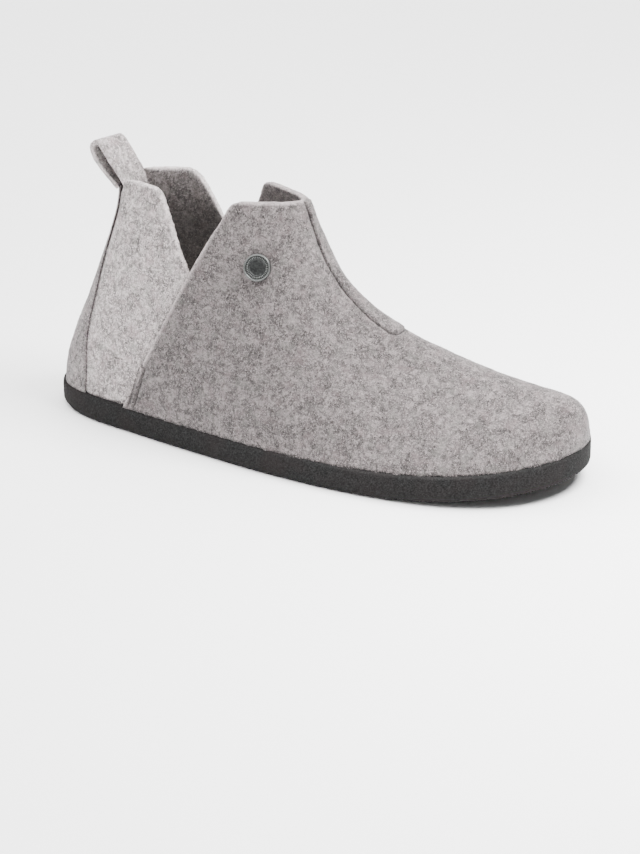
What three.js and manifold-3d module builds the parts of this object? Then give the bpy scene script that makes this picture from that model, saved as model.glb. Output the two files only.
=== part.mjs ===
// Felt slipper for the right foot: a low ankle slipper of thick felt with a cut-out on each side,
// a pull loop, a flat sheet sole and a loose footbed of cork and fleece.
// Millimetres. +X to the toe, +Y to the inner (medial) side, +Z up, the sole on Z = 0.
import * as THREE from 'three';
import { mergeVertices } from 'three/addons/utils/BufferGeometryUtils.js';
import Module from 'manifold-3d';

const wasm = await Module();
wasm.setup();

// Sole
const SOLE_LENGTH = 273.5;
const HEEL_WIDTH = 66;
const BALL_WIDTH = 95;
const TOE_SWING = 8.5;      // how far the toe's tip lies to the inner side of the heel's middle
const SOLE_THICKNESS = 12.3;
const TOE_SPRING = 9;
const SPRING_START = 0.6;   // share of the length where the toe begins to lift
const HEEL_BEVEL = 4.2;     // lift of the heel's lower back edge
const BEVEL_LENGTH = 24;
const SOLE_EDGE = 1.2;      // rounding of the sole's lower edge
const SOLE_LEDGE = 0.4;     // the felt stands this far inside the sole's edge

// Upper
const COLLAR_HEIGHT = 120.5;
const INSTEP_HEIGHT = 78;
const HEEL_LEAN = 30.5;     // how far the heel's back leans to the toe at the collar
const FELT = 4;             // felt with its lining
const VAMP_STEP = 2.4;      // the vamp stands this far outside the heel panels that it overlaps
const OVERLAP = 12;         // how far the heel panels run on under the vamp
const VAMP_TOP_X = 100.5;   // the vamp's back edge at the collar
const VAMP_FOOT_X = 48.5;   // and at the sole
const NOTCH_TOP_X = 62;     // the heel panels' front edge at the collar
const NOTCH_DEPTH = 38.5;    // how far the side cut-outs reach below the collar
const CORNER = 4;           // bevel of the collar's free corners
const FELT_HEM = 3;         // the felt is trimmed this far above its sections' feet

// Heel strip, pull loop and instep strip
const STRIP_TOP_DEPTH = 5.5;  // how far the strip reaches round the heel at the collar
const STRIP_FOOT_DEPTH = 24;  // and at the sole
const STRIP_TOP = 113;
const STRIP_PROUD = 0.7;
const STRIP_SUNK = 1.5;
const LOOP_WIDTH = 19;
const LOOP_BAND = 2.3;
const LOOP_HEIGHT = 22;     // above the heel strip, to the middle of the band
const LOOP_REACH = 10.5;    // how far the loop leans back from the heel strip
const LOOP_TWIST = 2.6;     // the loop's medial edge stands this far in front of its lateral one
const LOOP_DROP = 1.8;      // and this far below it
const LOOP_CURVE = 3.6;     // how far the loop's edges bend forward round the heel where it is sewn on
const TONGUE_TOP_WIDTH = 5;
const TONGUE_FOOT_WIDTH = 11;
const TONGUE_END_X = 181;
const TONGUE_SHIFT = 1.2;   // the instep strip lies this far to the medial side of the middle

// Rivet and footbed
const RIVET_DIAMETER = 13;
const RIVET_HEIGHT = 1.8;
const RIVET_X = 117.5;
const RIVET_Z = 92.7;
const CORK_HEEL = 13;
const CORK_TOE = 3;
const CUP_RISE = 7;
const FLEECE = 8;
const GAP = 0.3;

// How finely the faces are divided
const STATIONS = 38;
const ACROSS = 14;
const SECTION_STEPS = 120;
const BLOCK_STEPS = { x: 28, y: 12 };
const STRIP_STEPS = 14;
const LOOP_STEPS = { along: 26, across: 4 };
const TONGUE_END_STEPS = 8;
const RIVET_STEPS = 32;

// The sole's outline. along: place from heel to toe, on an arc; heel: how much the heel's width counts;
// lateral, medial: half widths as shares of the mixed half width; swing: share of TOE_SWING.
const OUTLINE = [
  { along: 0.0, heel: 1.0, lateral: 0.0, medial: 0.0, swing: 0 },
  { along: 0.1, heel: 1.0, lateral: 0.576, medial: 0.576, swing: 0 },
  { along: 0.2, heel: 1.0, lateral: 0.903, medial: 0.909, swing: 0 },
  { along: 0.3, heel: 1.0, lateral: 1.097, medial: 1.0, swing: 0.04 },
  { along: 0.4, heel: 0.5, lateral: 1.076, medial: 0.77, swing: 0.13 },
  { along: 0.5, heel: 0.0, lateral: 1.048, medial: 0.66, swing: 0.25 },
  { along: 0.6, heel: 0.0, lateral: 1.107, medial: 0.83, swing: 0.42 },
  { along: 0.7, heel: 0.0, lateral: 1.06, medial: 0.9, swing: 0.66 },
  { along: 0.8, heel: 0.0, lateral: 0.84, medial: 0.745, swing: 0.85 },
  { along: 0.9, heel: 0.0, lateral: 0.455, medial: 0.42, swing: 0.96 },
  { along: 1.0, heel: 0.0, lateral: 0.0, medial: 0.0, swing: 1 },
];

// The upper's sections, each an arch over the foot. ankle, instep: the crown's height as shares of
// COLLAR_HEIGHT and INSTEP_HEIGHT; back: how far the crown lies behind the arch's feet, as a share of
// SOLE_LENGTH; lean: share of the heel's own lean; outer, inner: the arch's half width near the crown on
// the lateral and the medial side, as shares of its half width at the feet; round: how square its shoulders are.
const SECTIONS = [
  { along: 0.0, ankle: 1.24, instep: 0.0, back: 0.0, lean: 1.0, outer: 0.5, inner: 0.5, round: 8 },
  { along: 0.1, ankle: 1.24, instep: 0.0, back: 0.0, lean: 0.98, outer: 0.48, inner: 0.5, round: 8 },
  { along: 0.2, ankle: 1.24, instep: 0.0, back: 0.0, lean: 0.82, outer: 0.47, inner: 0.62, round: 8 },
  { along: 0.3, ankle: 1.24, instep: 0.0, back: 0.0, lean: 0.45, outer: 0.5, inner: 0.75, round: 8 },
  { along: 0.4, ankle: 1.22, instep: 0.0, back: 0.0, lean: 0.1, outer: 0.39, inner: 0.56, round: 7 },
  { along: 0.5, ankle: 1.12, instep: 0.0, back: 0.052, lean: 0.0, outer: 0.21, inner: 0.31, round: 4 },
  { along: 0.55, ankle: 1.01, instep: 0.0, back: 0.098, lean: 0.0, outer: 0.13, inner: 0.17, round: 3 },
  { along: 0.6, ankle: 0.0, instep: 1.21, back: 0.138, lean: 0.0, outer: 0.14, inner: 0.15, round: 2.5 },
  { along: 0.65, ankle: 0.0, instep: 0.92, back: 0.131, lean: 0.0, outer: 0.25, inner: 0.23, round: 2.4 },
  { along: 0.7, ankle: 0.0, instep: 0.755, back: 0.09, lean: 0.0, outer: 0.4, inner: 0.34, round: 2.3 },
  { along: 0.75, ankle: 0.0, instep: 0.648, back: 0.055, lean: 0.0, outer: 0.5, inner: 0.44, round: 2.3 },
  { along: 0.8, ankle: 0.0, instep: 0.592, back: 0.03, lean: 0.0, outer: 0.6, inner: 0.54, round: 2.3 },
  { along: 0.9, ankle: 0.0, instep: 0.545, back: 0.007, lean: 0.0, outer: 0.7, inner: 0.7, round: 2.6 },
  { along: 1.0, ankle: 0.0, instep: 0.42, back: 0.0, lean: 0.0, outer: 0.8, inner: 0.8, round: 3 },
];

// The heel's back line: height as a share of COLLAR_HEIGHT, lean as a share of HEEL_LEAN.
const HEEL_LINE = [
  { height: 0.1, lean: 0.0 },
  { height: 0.22, lean: 0.06 },
  { height: 0.37, lean: 0.26 },
  { height: 0.5, lean: 0.47 },
  { height: 0.65, lean: 0.68 },
  { height: 0.8, lean: 0.885 },
  { height: 0.92, lean: 0.99 },
  { height: 1.3, lean: 1.03 },
];

// How far the heel strip reaches round the heel: height as a share of STRIP_TOP, wide from
// STRIP_TOP_DEPTH (0) to STRIP_FOOT_DEPTH (1).
const STRIP_FLARE = [
  { height: 0.0, wide: 1.0 },
  { height: 0.2, wide: 0.96 },
  { height: 0.38, wide: 0.57 },
  { height: 0.53, wide: 0.33 },
  { height: 0.7, wide: 0.12 },
  { height: 0.83, wide: 0.0 },
  { height: 1.0, wide: 0.0 },
];

// The pull loop from the heel strip's top, over, and down inside the heel: back as a share of LOOP_REACH,
// up as a share of LOOP_HEIGHT, both from the strip's top.
const LOOP_LINE = [
  { back: 0.06, up: 0.06 },
  { back: 0.5, up: 0.34 },
  { back: 0.8, up: 0.58 },
  { back: 1.0, up: 0.82 },
  { back: 0.93, up: 0.95 },
  { back: 0.68, up: 1.0 },
  { back: 0.4, up: 0.86 },
  { back: 0.02, up: 0.59 },
  { back: -0.26, up: 0.31 },
  { back: -0.52, up: -0.1 },
  { back: -0.46, up: -0.33 },
  { back: -0.3, up: -0.58 },
];

// A smooth line through one column of a table.
function follow(rows, knot, column, at) {
  const last = rows.length - 1;
  const x = Math.min(Math.max(at, rows[0][knot]), rows[last][knot]);
  let i = 0;
  while (i < last - 1 && x > rows[i + 1][knot]) i += 1;
  const slope = (k) => {
    const a = rows[Math.max(k - 1, 0)];
    const b = rows[Math.min(k + 1, last)];
    return (b[column] - a[column]) / (b[knot] - a[knot]);
  };
  const span = rows[i + 1][knot] - rows[i][knot];
  const t = (x - rows[i][knot]) / span;
  const [p, q] = [rows[i][column], rows[i + 1][column]];
  const [m, n] = [slope(i) * span, slope(i + 1) * span];
  return p + t * (m + t * (3 * (q - p) - 2 * m - n + t * (2 * (p - q) + m + n)));
}

const mix = (a, b, t) => a + (b - a) * t;
const stationX = (along) => (SOLE_LENGTH * (1 - Math.cos(Math.PI * along))) / 2;
const alongAt = (x) => Math.acos(1 - (2 * x) / SOLE_LENGTH) / Math.PI;
const swingAt = (along) => TOE_SWING * follow(OUTLINE, 'along', 'swing', along);
const heelLineX = (z) => HEEL_LEAN * follow(HEEL_LINE, 'height', 'lean', z / COLLAR_HEIGHT);

function halfWidth(along, side) {
  const base = mix(BALL_WIDTH, HEEL_WIDTH, follow(OUTLINE, 'along', 'heel', along)) / 2;
  return Math.max(0, base * follow(OUTLINE, 'along', side < 0 ? 'lateral' : 'medial', along));
}

// Height of the ground side of the sole.
function liftAt(x) {
  const start = SPRING_START * SOLE_LENGTH;
  const share = Math.max(0, (x - start) / (SOLE_LENGTH - start));
  return TOE_SPRING * share ** 2;
}

// Closed solid from a grid of points: rows of equal length, the first and last row each shut on itself.
function solidFromTriangles(positions, triangles) {
  const geometry = new THREE.BufferGeometry();
  geometry.setAttribute('position', new THREE.Float32BufferAttribute(positions.flat(), 3));
  geometry.setIndex(triangles.flat());
  const merged = mergeVertices(geometry, 1e-4);
  const index = merged.index.array;
  const kept = [];
  for (let i = 0; i < index.length; i += 3) {
    const [a, b, c] = [index[i], index[i + 1], index[i + 2]];
    if (a !== b && b !== c && c !== a) kept.push(a, b, c);
  }
  merged.setIndex(kept);
  return toManifold(merged);
}

function toManifold(geometry) {
  const bare = geometry.clone();
  for (const name of Object.keys(bare.attributes)) if (name !== 'position') bare.deleteAttribute(name);
  const merged = mergeVertices(bare, 1e-4);
  return new wasm.Manifold(new wasm.Mesh({
    numProp: 3,
    vertProperties: new Float32Array(merged.attributes.position.array),
    triVerts: new Uint32Array(merged.index.array),
  }));
}

// The main body of a cut solid, without the crumbs that a cut leaves.
function mainBody(solid) {
  return solid.decompose().reduce((a, b) => (b.volume() > a.volume() ? b : a));
}

function toGeometry(solid) {
  const mesh = solid.getMesh();
  const geometry = new THREE.BufferGeometry();
  const positions = new Float32Array(mesh.numVert * 3);
  for (let i = 0; i < mesh.numVert; i += 1) {
    for (let k = 0; k < 3; k += 1) positions[3 * i + k] = mesh.vertProperties[mesh.numProp * i + k];
  }
  geometry.setAttribute('position', new THREE.BufferAttribute(positions, 3));
  geometry.setIndex(new THREE.BufferAttribute(new Uint32Array(mesh.triVerts), 1));
  geometry.computeVertexNormals();
  return geometry;
}

// A prism across the slipper from a side outline of [x, z] points.
function sidePrism(points, halfSpan, middle = 0) {
  const shape = new THREE.Shape(points.map(([x, z]) => new THREE.Vector2(x, z)));
  const geometry = new THREE.ExtrudeGeometry(shape, { depth: 2 * halfSpan, bevelEnabled: false });
  geometry.rotateX(Math.PI / 2);
  geometry.translate(0, halfSpan + middle, 0);
  return toManifold(geometry);
}

// The upper's outer face: a grid of stations by points from the lateral foot over the crown to the medial.
const HEEL_BLEND = 0.32;    // share of the outline where the vamp's own thickness has faded in
const OUTLINE_END = 0.08;   // the outline's first and last stretch, where the ledge fades out
const NARROWING = 1.1;      // how late a section narrows on its way up
const smoothFade = (t) => t * t * (3 - 2 * t);

function archPoint(along, side, share) {
  const x = stationX(along);
  const floor = SOLE_THICKNESS - FELT_HEM + liftAt(x);
  const crown = COLLAR_HEIGHT * follow(SECTIONS, 'along', 'ankle', along)
    + INSTEP_HEIGHT * follow(SECTIONS, 'along', 'instep', along);
  const heelShare = 1 - smoothFade(Math.min(1, along / HEEL_BLEND));
  const ends = Math.min(1, along / OUTLINE_END, (1 - along) / OUTLINE_END);
  const feet = halfWidth(along, side) + (VAMP_STEP * heelShare - SOLE_LEDGE) * ends;
  const mean = (halfWidth(along, -1) + halfWidth(along, 1)) / 2;
  const top = mean * follow(SECTIONS, 'along', side < 0 ? 'outer' : 'inner', along);
  const round = follow(SECTIONS, 'along', 'round', along);
  const angle = (share * Math.PI) / 2;
  const h = Math.sin(angle) ** (2 / round);
  const z = mix(floor, crown, h);
  const width = mix(feet, top, h ** NARROWING) * Math.cos(angle);
  const lean = heelLineX(z) * follow(SECTIONS, 'along', 'lean', along);
  const back = SOLE_LENGTH * follow(SECTIONS, 'along', 'back', along) * h;
  return new THREE.Vector3(x + lean - back, swingAt(along) + side * width, z);
}

// One side of a section, its points evenly spaced from the foot to the crown.
function sideCurve(along, side) {
  const points = [];
  const run = [0];
  for (let i = 0; i <= SECTION_STEPS; i += 1) {
    points.push(archPoint(along, side, (i / SECTION_STEPS) ** 2));
    if (i) run.push(run[i - 1] + points[i].distanceTo(points[i - 1]));
  }
  const even = [];
  let k = 0;
  for (let j = 0; j <= ACROSS; j += 1) {
    const target = (run[SECTION_STEPS] * j) / ACROSS;
    while (k < SECTION_STEPS - 1 && run[k + 1] < target) k += 1;
    const t = (target - run[k]) / (run[k + 1] - run[k]);
    even.push(points[k].clone().lerp(points[k + 1], Math.min(Math.max(t, 0), 1)));
  }
  return even;
}

function upperGrid() {
  const rows = [];
  for (let i = 0; i <= STATIONS; i += 1) {
    const along = i / STATIONS;
    const lateral = sideCurve(along, -1);
    const medial = sideCurve(along, 1).reverse();
    rows.push([...lateral, ...medial.slice(1)]);
  }
  return rows;
}

const grid = upperGrid();
const columns = grid[0].length;

// Outward normals of the grid, from each point's neighbours.
const normals = grid.map((row, i) => row.map((point, j) => {
  const ahead = grid[Math.min(i + 1, STATIONS)][j].clone().sub(grid[Math.max(i - 1, 0)][j]);
  const over = row[Math.min(j + 1, columns - 1)].clone().sub(row[Math.max(j - 1, 0)]);
  const normal = ahead.cross(over);
  if (i === 0 || i === STATIONS) normal.y = 0;
  return normal.normalize();
}));

// The face at a distance outside (or, negative, inside) the grid. Inside the sharp ridge at the collar's
// front the two sides come near each other and never cross.
const RIDGE_START = 0.42;   // share of the outline where the ridge begins
const RIDGE = 2.5;          // how blunt its inside is

function shifted(distance) {
  const depth = -distance;
  return grid.map((row, i) => row.map((p, j) => {
    const normal = normals[i][j];
    const moved = p.clone().addScaledVector(normal, distance);
    if (depth > 0 && i > RIDGE_START * STATIONS) {
      const room = (Math.abs(p.y - swingAt(i / STATIONS)) * depth) / (depth + RIDGE);
      moved.y = p.y - Math.sign(normal.y) * Math.min(depth * Math.abs(normal.y), room);
    }
    return moved;
  }));
}

// A shell between two such faces, open below.
function shell(outer, inner) {
  const faces = [shifted(outer), shifted(inner)];
  const positions = [];
  faces.forEach((face) => face.forEach((row) => row.forEach((p) => positions.push([p.x, p.y, p.z]))));
  const at = (f, i, j) => f * (STATIONS + 1) * columns + i * columns + j;
  const triangles = [];
  const quad = (a, b, c, d) => triangles.push([a, b, c], [a, c, d]);
  for (let i = 0; i < STATIONS; i += 1) {
    for (let j = 0; j < columns - 1; j += 1) {
      quad(at(0, i, j), at(0, i + 1, j), at(0, i + 1, j + 1), at(0, i, j + 1));
      quad(at(1, i, j), at(1, i, j + 1), at(1, i + 1, j + 1), at(1, i + 1, j));
    }
    const last = columns - 1;
    quad(at(0, i, 0), at(1, i, 0), at(1, i + 1, 0), at(0, i + 1, 0));
    quad(at(0, i + 1, last), at(1, i + 1, last), at(1, i, last), at(0, i, last));
  }
  return solidFromTriangles(positions, triangles);
}

// The room inside a face, closed below by rungs from foot to foot.
function filled(distance) {
  const face = shifted(distance);
  const positions = face.flatMap((row) => row.map((p) => [p.x, p.y, p.z]));
  const at = (i, j) => i * columns + j;
  const last = columns - 1;
  const triangles = [];
  for (let i = 0; i < STATIONS; i += 1) {
    for (let j = 0; j < last; j += 1) {
      triangles.push([at(i, j), at(i + 1, j), at(i + 1, j + 1)], [at(i, j), at(i + 1, j + 1), at(i, j + 1)]);
    }
    triangles.push([at(i, 0), at(i, last), at(i + 1, last)], [at(i, 0), at(i + 1, last), at(i + 1, 0)]);
  }
  return solidFromTriangles(positions, triangles);
}

// The sole's outline, moved in by an inset: the lateral side from heel to toe and back on the medial side.
function soleRing(inset) {
  const points = [];
  for (let i = 0; i <= STATIONS; i += 1) {
    const along = i / STATIONS;
    points.push([stationX(along), swingAt(along) - halfWidth(along, -1)]);
  }
  for (let i = STATIONS - 1; i > 0; i -= 1) {
    const along = i / STATIONS;
    points.push([stationX(along), swingAt(along) + halfWidth(along, 1)]);
  }
  const count = points.length;
  return points.map(([x, y], k) => {
    const [ax, ay] = points[(k + count - 1) % count];
    const [bx, by] = points[(k + 1) % count];
    const length = Math.hypot(bx - ax, by - ay);
    return [x - (inset * (by - ay)) / length, y + (inset * (bx - ax)) / length];
  });
}

function makeOutsole() {
  const halfway = 1 - Math.SQRT1_2;
  const layers = [
    { inset: SOLE_EDGE, height: 0 },
    { inset: SOLE_EDGE * halfway, height: SOLE_EDGE * halfway },
    { inset: 0, height: SOLE_EDGE },
    { inset: 0, height: SOLE_THICKNESS },
  ];
  const positions = [];
  for (const { inset, height } of layers) {
    for (const [x, y] of soleRing(inset)) {
      const bevel = HEEL_BEVEL * Math.max(0, 1 - x / BEVEL_LENGTH) ** 2 * (1 - height / SOLE_THICKNESS);
      positions.push([x, y, height + liftAt(x) + bevel]);
    }
  }
  const count = positions.length / layers.length;
  const triangles = [];
  for (let f = 0; f < layers.length - 1; f += 1) {
    for (let k = 0; k < count; k += 1) {
      const next = (k + 1) % count;
      const [a, b, c, d] = [f * count + k, f * count + next, (f + 1) * count + next, (f + 1) * count + k];
      triangles.push([a, b, c], [a, c, d]);
    }
  }
  const mate = (i) => (count - i) % count;
  const topAt = (layers.length - 1) * count;
  for (let i = 0; i < STATIONS; i += 1) {
    const [a, b, c, d] = [i, i + 1, mate(i + 1), mate(i)];
    triangles.push([a, c, b], [a, d, c]);
    triangles.push([topAt + a, topAt + b, topAt + c], [topAt + a, topAt + c, topAt + d]);
  }
  return solidFromTriangles(positions, triangles);
}

// The vamp's straight back edge in side view.
function vampEdgeX(z) {
  return mix(VAMP_FOOT_X, VAMP_TOP_X, (z - SOLE_THICKNESS) / (COLLAR_HEIGHT - SOLE_THICKNESS));
}

const FAR = 400;
const notchFoot = COLLAR_HEIGHT - NOTCH_DEPTH;
const behindVamp = sidePrism([[-FAR, -FAR], [vampEdgeX(-FAR), -FAR], [vampEdgeX(FAR), FAR], [-FAR, FAR]], FAR);

// Ahead of the heel panels, whose front edge runs down the cut-out and on under the vamp.
const aheadOfPanels = sidePrism([
  [vampEdgeX(-FAR) + OVERLAP, -FAR], [FAR, -FAR], [FAR, FAR], [NOTCH_TOP_X, FAR], [NOTCH_TOP_X, COLLAR_HEIGHT],
  [vampEdgeX(notchFoot), notchFoot], [vampEdgeX(notchFoot - OVERLAP) + OVERLAP, notchFoot - OVERLAP]], FAR);

// Everything above the collar, with the V of the side cut-outs hanging from it. Each free corner is
// cut twice, first at a low angle.
function aboveCollar() {
  const heelSlope = (vampEdgeX(notchFoot) - NOTCH_TOP_X) / NOTCH_DEPTH;
  const low = COLLAR_HEIGHT - CORNER;
  const near = COLLAR_HEIGHT - CORNER / 3;
  const tuck = CORNER / 10;
  return sidePrism([
    [-FAR, COLLAR_HEIGHT], [NOTCH_TOP_X - CORNER, COLLAR_HEIGHT], [NOTCH_TOP_X - tuck, near],
    [NOTCH_TOP_X + CORNER * heelSlope, low], [vampEdgeX(notchFoot), notchFoot],
    [vampEdgeX(low), low], [vampEdgeX(near) + tuck, near],
    [VAMP_TOP_X + CORNER, COLLAR_HEIGHT], [FAR, COLLAR_HEIGHT], [FAR, FAR], [-FAR, FAR]], FAR);
}

// The heel strip in side view: narrow at the collar, flared to the sole.
function stripPrism(grow, top) {
  const points = [[-FAR, top], [-FAR, 0]];
  for (let k = 0; k <= STRIP_STEPS; k += 1) {
    const share = k / STRIP_STEPS;
    const depth = mix(STRIP_TOP_DEPTH, STRIP_FOOT_DEPTH, follow(STRIP_FLARE, 'height', 'wide', share));
    points.push([heelLineX(STRIP_TOP * share) + depth + grow, STRIP_TOP * share]);
  }
  if (top > STRIP_TOP) points.push([points[points.length - 1][0], top]);
  return sidePrism(points, FAR);
}

// The instep strip seen from above, widening from the collar to its rounded end.
const TONGUE_FLARE = 0.36;  // share of its length where it begins to widen

function tonguePrism(grow) {
  const startX = VAMP_TOP_X + CORNER;
  const [topHalf, footHalf] = [TONGUE_TOP_WIDTH / 2 + grow, TONGUE_FOOT_WIDTH / 2 + grow];
  const roundX = TONGUE_END_X - footHalf + grow;
  const middle = (x) => swingAt(alongAt(x)) + TONGUE_SHIFT;
  const narrowX = mix(startX, TONGUE_END_X, TONGUE_FLARE);
  const points = [[startX, -topHalf], [narrowX, -topHalf], [roundX, -footHalf]];
  for (let k = 1; k < TONGUE_END_STEPS; k += 1) {
    const angle = -Math.PI / 2 + (Math.PI * k) / TONGUE_END_STEPS;
    points.push([roundX + footHalf * Math.cos(angle), footHalf * Math.sin(angle)]);
  }
  points.push([roundX, footHalf], [narrowX, topHalf], [startX, topHalf]);
  const shape = new THREE.Shape(points.map(([x, y]) => new THREE.Vector2(x, y + middle(x))));
  return toManifold(new THREE.ExtrudeGeometry(shape, { depth: 2 * COLLAR_HEIGHT, bevelEnabled: false }));
}

// A block between two heights that change over the plan, wider than the slipper.
function block(lowAt, highAt) {
  const { x: nx, y: ny } = BLOCK_STEPS;
  const positions = [];
  const spanY = BALL_WIDTH / 2 + 2 * CORK_HEEL;
  for (const heightAt of [highAt, lowAt]) {
    for (let i = 0; i <= nx; i += 1) {
      for (let j = 0; j <= ny; j += 1) {
        const x = mix(-BEVEL_LENGTH, SOLE_LENGTH + BEVEL_LENGTH, i / nx);
        const y = mix(-spanY, spanY, j / ny);
        positions.push([x, y, heightAt(x, y)]);
      }
    }
  }
  const at = (f, i, j) => f * (nx + 1) * (ny + 1) + i * (ny + 1) + j;
  const triangles = [];
  const quad = (a, b, c, d) => triangles.push([a, b, c], [a, c, d]);
  for (let i = 0; i < nx; i += 1) {
    for (let j = 0; j < ny; j += 1) {
      quad(at(0, i, j), at(0, i + 1, j), at(0, i + 1, j + 1), at(0, i, j + 1));
      quad(at(1, i, j), at(1, i, j + 1), at(1, i + 1, j + 1), at(1, i + 1, j));
    }
    quad(at(0, i, 0), at(1, i, 0), at(1, i + 1, 0), at(0, i + 1, 0));
    quad(at(0, i + 1, ny), at(1, i + 1, ny), at(1, i, ny), at(0, i, ny));
  }
  for (let j = 0; j < ny; j += 1) {
    quad(at(0, 0, j + 1), at(1, 0, j + 1), at(1, 0, j), at(0, 0, j));
    quad(at(0, nx, j), at(1, nx, j), at(1, nx, j + 1), at(0, nx, j + 1));
  }
  return solidFromTriangles(positions, triangles);
}

const deep = VAMP_STEP + FELT;
const bedLine = (x) => SOLE_THICKNESS + GAP + liftAt(x);
const underFelt = block(() => -SOLE_THICKNESS, bedLine);
const removedAbove = aboveCollar();
const heelTopNotch = sidePrism([[-FAR, STRIP_TOP + GAP], [NOTCH_TOP_X, STRIP_TOP + GAP], [NOTCH_TOP_X, FAR],
  [-FAR, FAR]], LOOP_WIDTH / 2 + 2 * GAP);

function makeUpper() {
  const heelRecess = shell(2 * VAMP_STEP, -VAMP_STEP).intersect(behindVamp);
  const vampInside = shell(-FELT, -deep - VAMP_STEP).intersect(aheadOfPanels);
  const stripPocket = shell(2 * VAMP_STEP, -VAMP_STEP - STRIP_SUNK).intersect(stripPrism(GAP, COLLAR_HEIGHT));
  const tonguePocket = shell(2 * VAMP_STEP, -STRIP_SUNK).intersect(tonguePrism(GAP));
  return shell(0, -deep).subtract(heelRecess).subtract(vampInside).subtract(removedAbove)
    .subtract(heelTopNotch).subtract(stripPocket).subtract(tonguePocket).subtract(underFelt)
    .subtract(makePullLoop(GAP));
}

function makeHeelStrip() {
  return shell(STRIP_PROUD - VAMP_STEP, GAP - VAMP_STEP - STRIP_SUNK).intersect(stripPrism(0, STRIP_TOP))
    .subtract(underFelt);
}

function makeInstepStrip() {
  return shell(STRIP_PROUD, GAP - STRIP_SUNK).intersect(tonguePrism(0)).subtract(removedAbove);
}

// The loop's band, grown all round by a clearance. Low down its edges bend forward with the heel, and
// higher up it twists.
function makePullLoop(grow) {
  const stripTopX = VAMP_STEP - STRIP_PROUD + heelLineX(STRIP_TOP);
  const half = LOOP_BAND / 2 + grow;
  const width = LOOP_WIDTH + 2 * grow;
  const path = LOOP_LINE.map(({ back, up }) => new THREE.Vector3(
    stripTopX + LOOP_BAND / 2 - back * LOOP_REACH, STRIP_TOP + GAP + up * LOOP_HEIGHT, 0));
  const curve = new THREE.CatmullRomCurve3(path);
  const near = [];
  const far = [];
  for (let i = 0; i <= LOOP_STEPS.along; i += 1) {
    const share = i / LOOP_STEPS.along;
    const t = curve.getTangentAt(share);
    const p = curve.getPointAt(share).addScaledVector(t, grow * (Math.floor(share) - Math.floor(1 - share)));
    near.push(new THREE.Vector2(p.x - t.y * half, p.y + t.x * half));
    far.unshift(new THREE.Vector2(p.x + t.y * half, p.y - t.x * half));
  }
  const shape = new THREE.Shape([...near, ...far]);
  const settings = { depth: width, steps: LOOP_STEPS.across, bevelEnabled: false };
  const geometry = new THREE.ExtrudeGeometry(shape, settings);
  geometry.rotateX(Math.PI / 2);
  geometry.translate(0, width / 2, 0);
  const position = geometry.attributes.position;
  for (let i = 0; i < position.count; i += 1) {
    const [x, y, z] = [position.getX(i), position.getY(i), position.getZ(i)];
    const across = (2 * y) / LOOP_WIDTH;
    const risen = Math.min(1, Math.max(0, (z - STRIP_TOP) / (LOOP_HEIGHT * 0.6)));
    const bend = LOOP_CURVE * across ** 2 * (1 - risen);
    position.setXYZ(i, x + bend + (LOOP_TWIST / 2) * across * risen, y, z - (LOOP_DROP / 2) * across * risen);
  }
  return toManifold(geometry);
}

// The footbed's faces: thick and cupped at the heel, thin and flat under the toes.
const THIN_START = 0.35;    // share of the length where the footbed begins to thin
const THIN_LENGTH = 0.4;

function corkTop(x, y) {
  const thin = smoothFade(Math.min(1, Math.max(0, (x / SOLE_LENGTH - THIN_START) / THIN_LENGTH)));
  const cup = CUP_RISE * (1 - thin) * Math.min(1, (2 * y / HEEL_WIDTH) ** 2);
  return bedLine(x) + mix(CORK_HEEL, CORK_TOE, thin) + cup;
}

const footbedRoom = filled(-deep - GAP);
const bed = (from, to) => footbedRoom.intersect(block(from, to));
const makeCork = () => bed(bedLine, corkTop);
const makeFleece = () => bed((x, y) => corkTop(x, y) + GAP, (x, y) => corkTop(x, y) + FLEECE);

// A point of the lateral wall's outer face, nearest a place in side view, with its normal.
function lateralFace(x, z) {
  let best = { distance: Infinity };
  for (let i = 1; i < STATIONS; i += 1) {
    for (let j = 0; j < ACROSS; j += 1) {
      const distance = Math.hypot(grid[i][j].x - x, grid[i][j].z - z);
      if (distance < best.distance) best = { distance, i, j };
    }
  }
  const normal = normals[best.i][best.j];
  const near = grid[best.i][best.j];
  const y = near.y - ((x - near.x) * normal.x + (z - near.z) * normal.z) / normal.y;
  return { point: new THREE.Vector3(x, y, z), normal };
}

// The rivet's cap as it is turned: radius and height as shares of its own, from the felt to the middle.
const RIVET_PROFILE = [
  { radius: 0, height: 0 },
  { radius: 1, height: 0 },
  { radius: 1, height: 0.45 },
  { radius: 0.93, height: 0.95 },
  { radius: 0.84, height: 0.95 },
  { radius: 0.78, height: 0.75 },
  { radius: 0, height: 1 },
];

function makeRivet() {
  const points = RIVET_PROFILE.map(({ radius, height }) => new THREE.Vector2(
    (radius * RIVET_DIAMETER) / 2, height * RIVET_HEIGHT));
  return new THREE.LatheGeometry(points, RIVET_STEPS);
}

const FINISH = {
  felt: { color: 0xb0aba8, roughness: 0.95, metalness: 0 },
  sole: { color: 0x424343, roughness: 0.85, metalness: 0 },
  cork: { color: 0x7a5a42, roughness: 0.9, metalness: 0 },
  fleece: { color: 0xefe9dc, roughness: 1, metalness: 0 },
  metal: { color: 0x55595a, roughness: 0.4, metalness: 0.9 },
};

const slipper = new THREE.Group();
slipper.name = 'felt_slipper';
const pieces = new THREE.Group();
slipper.add(pieces);

function add(name, shape, finish) {
  const geometry = shape.isBufferGeometry ? shape : toGeometry(mainBody(shape));
  const mesh = new THREE.Mesh(geometry, new THREE.MeshStandardMaterial(FINISH[finish]));
  mesh.name = name;
  pieces.add(mesh);
  return mesh;
}

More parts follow.
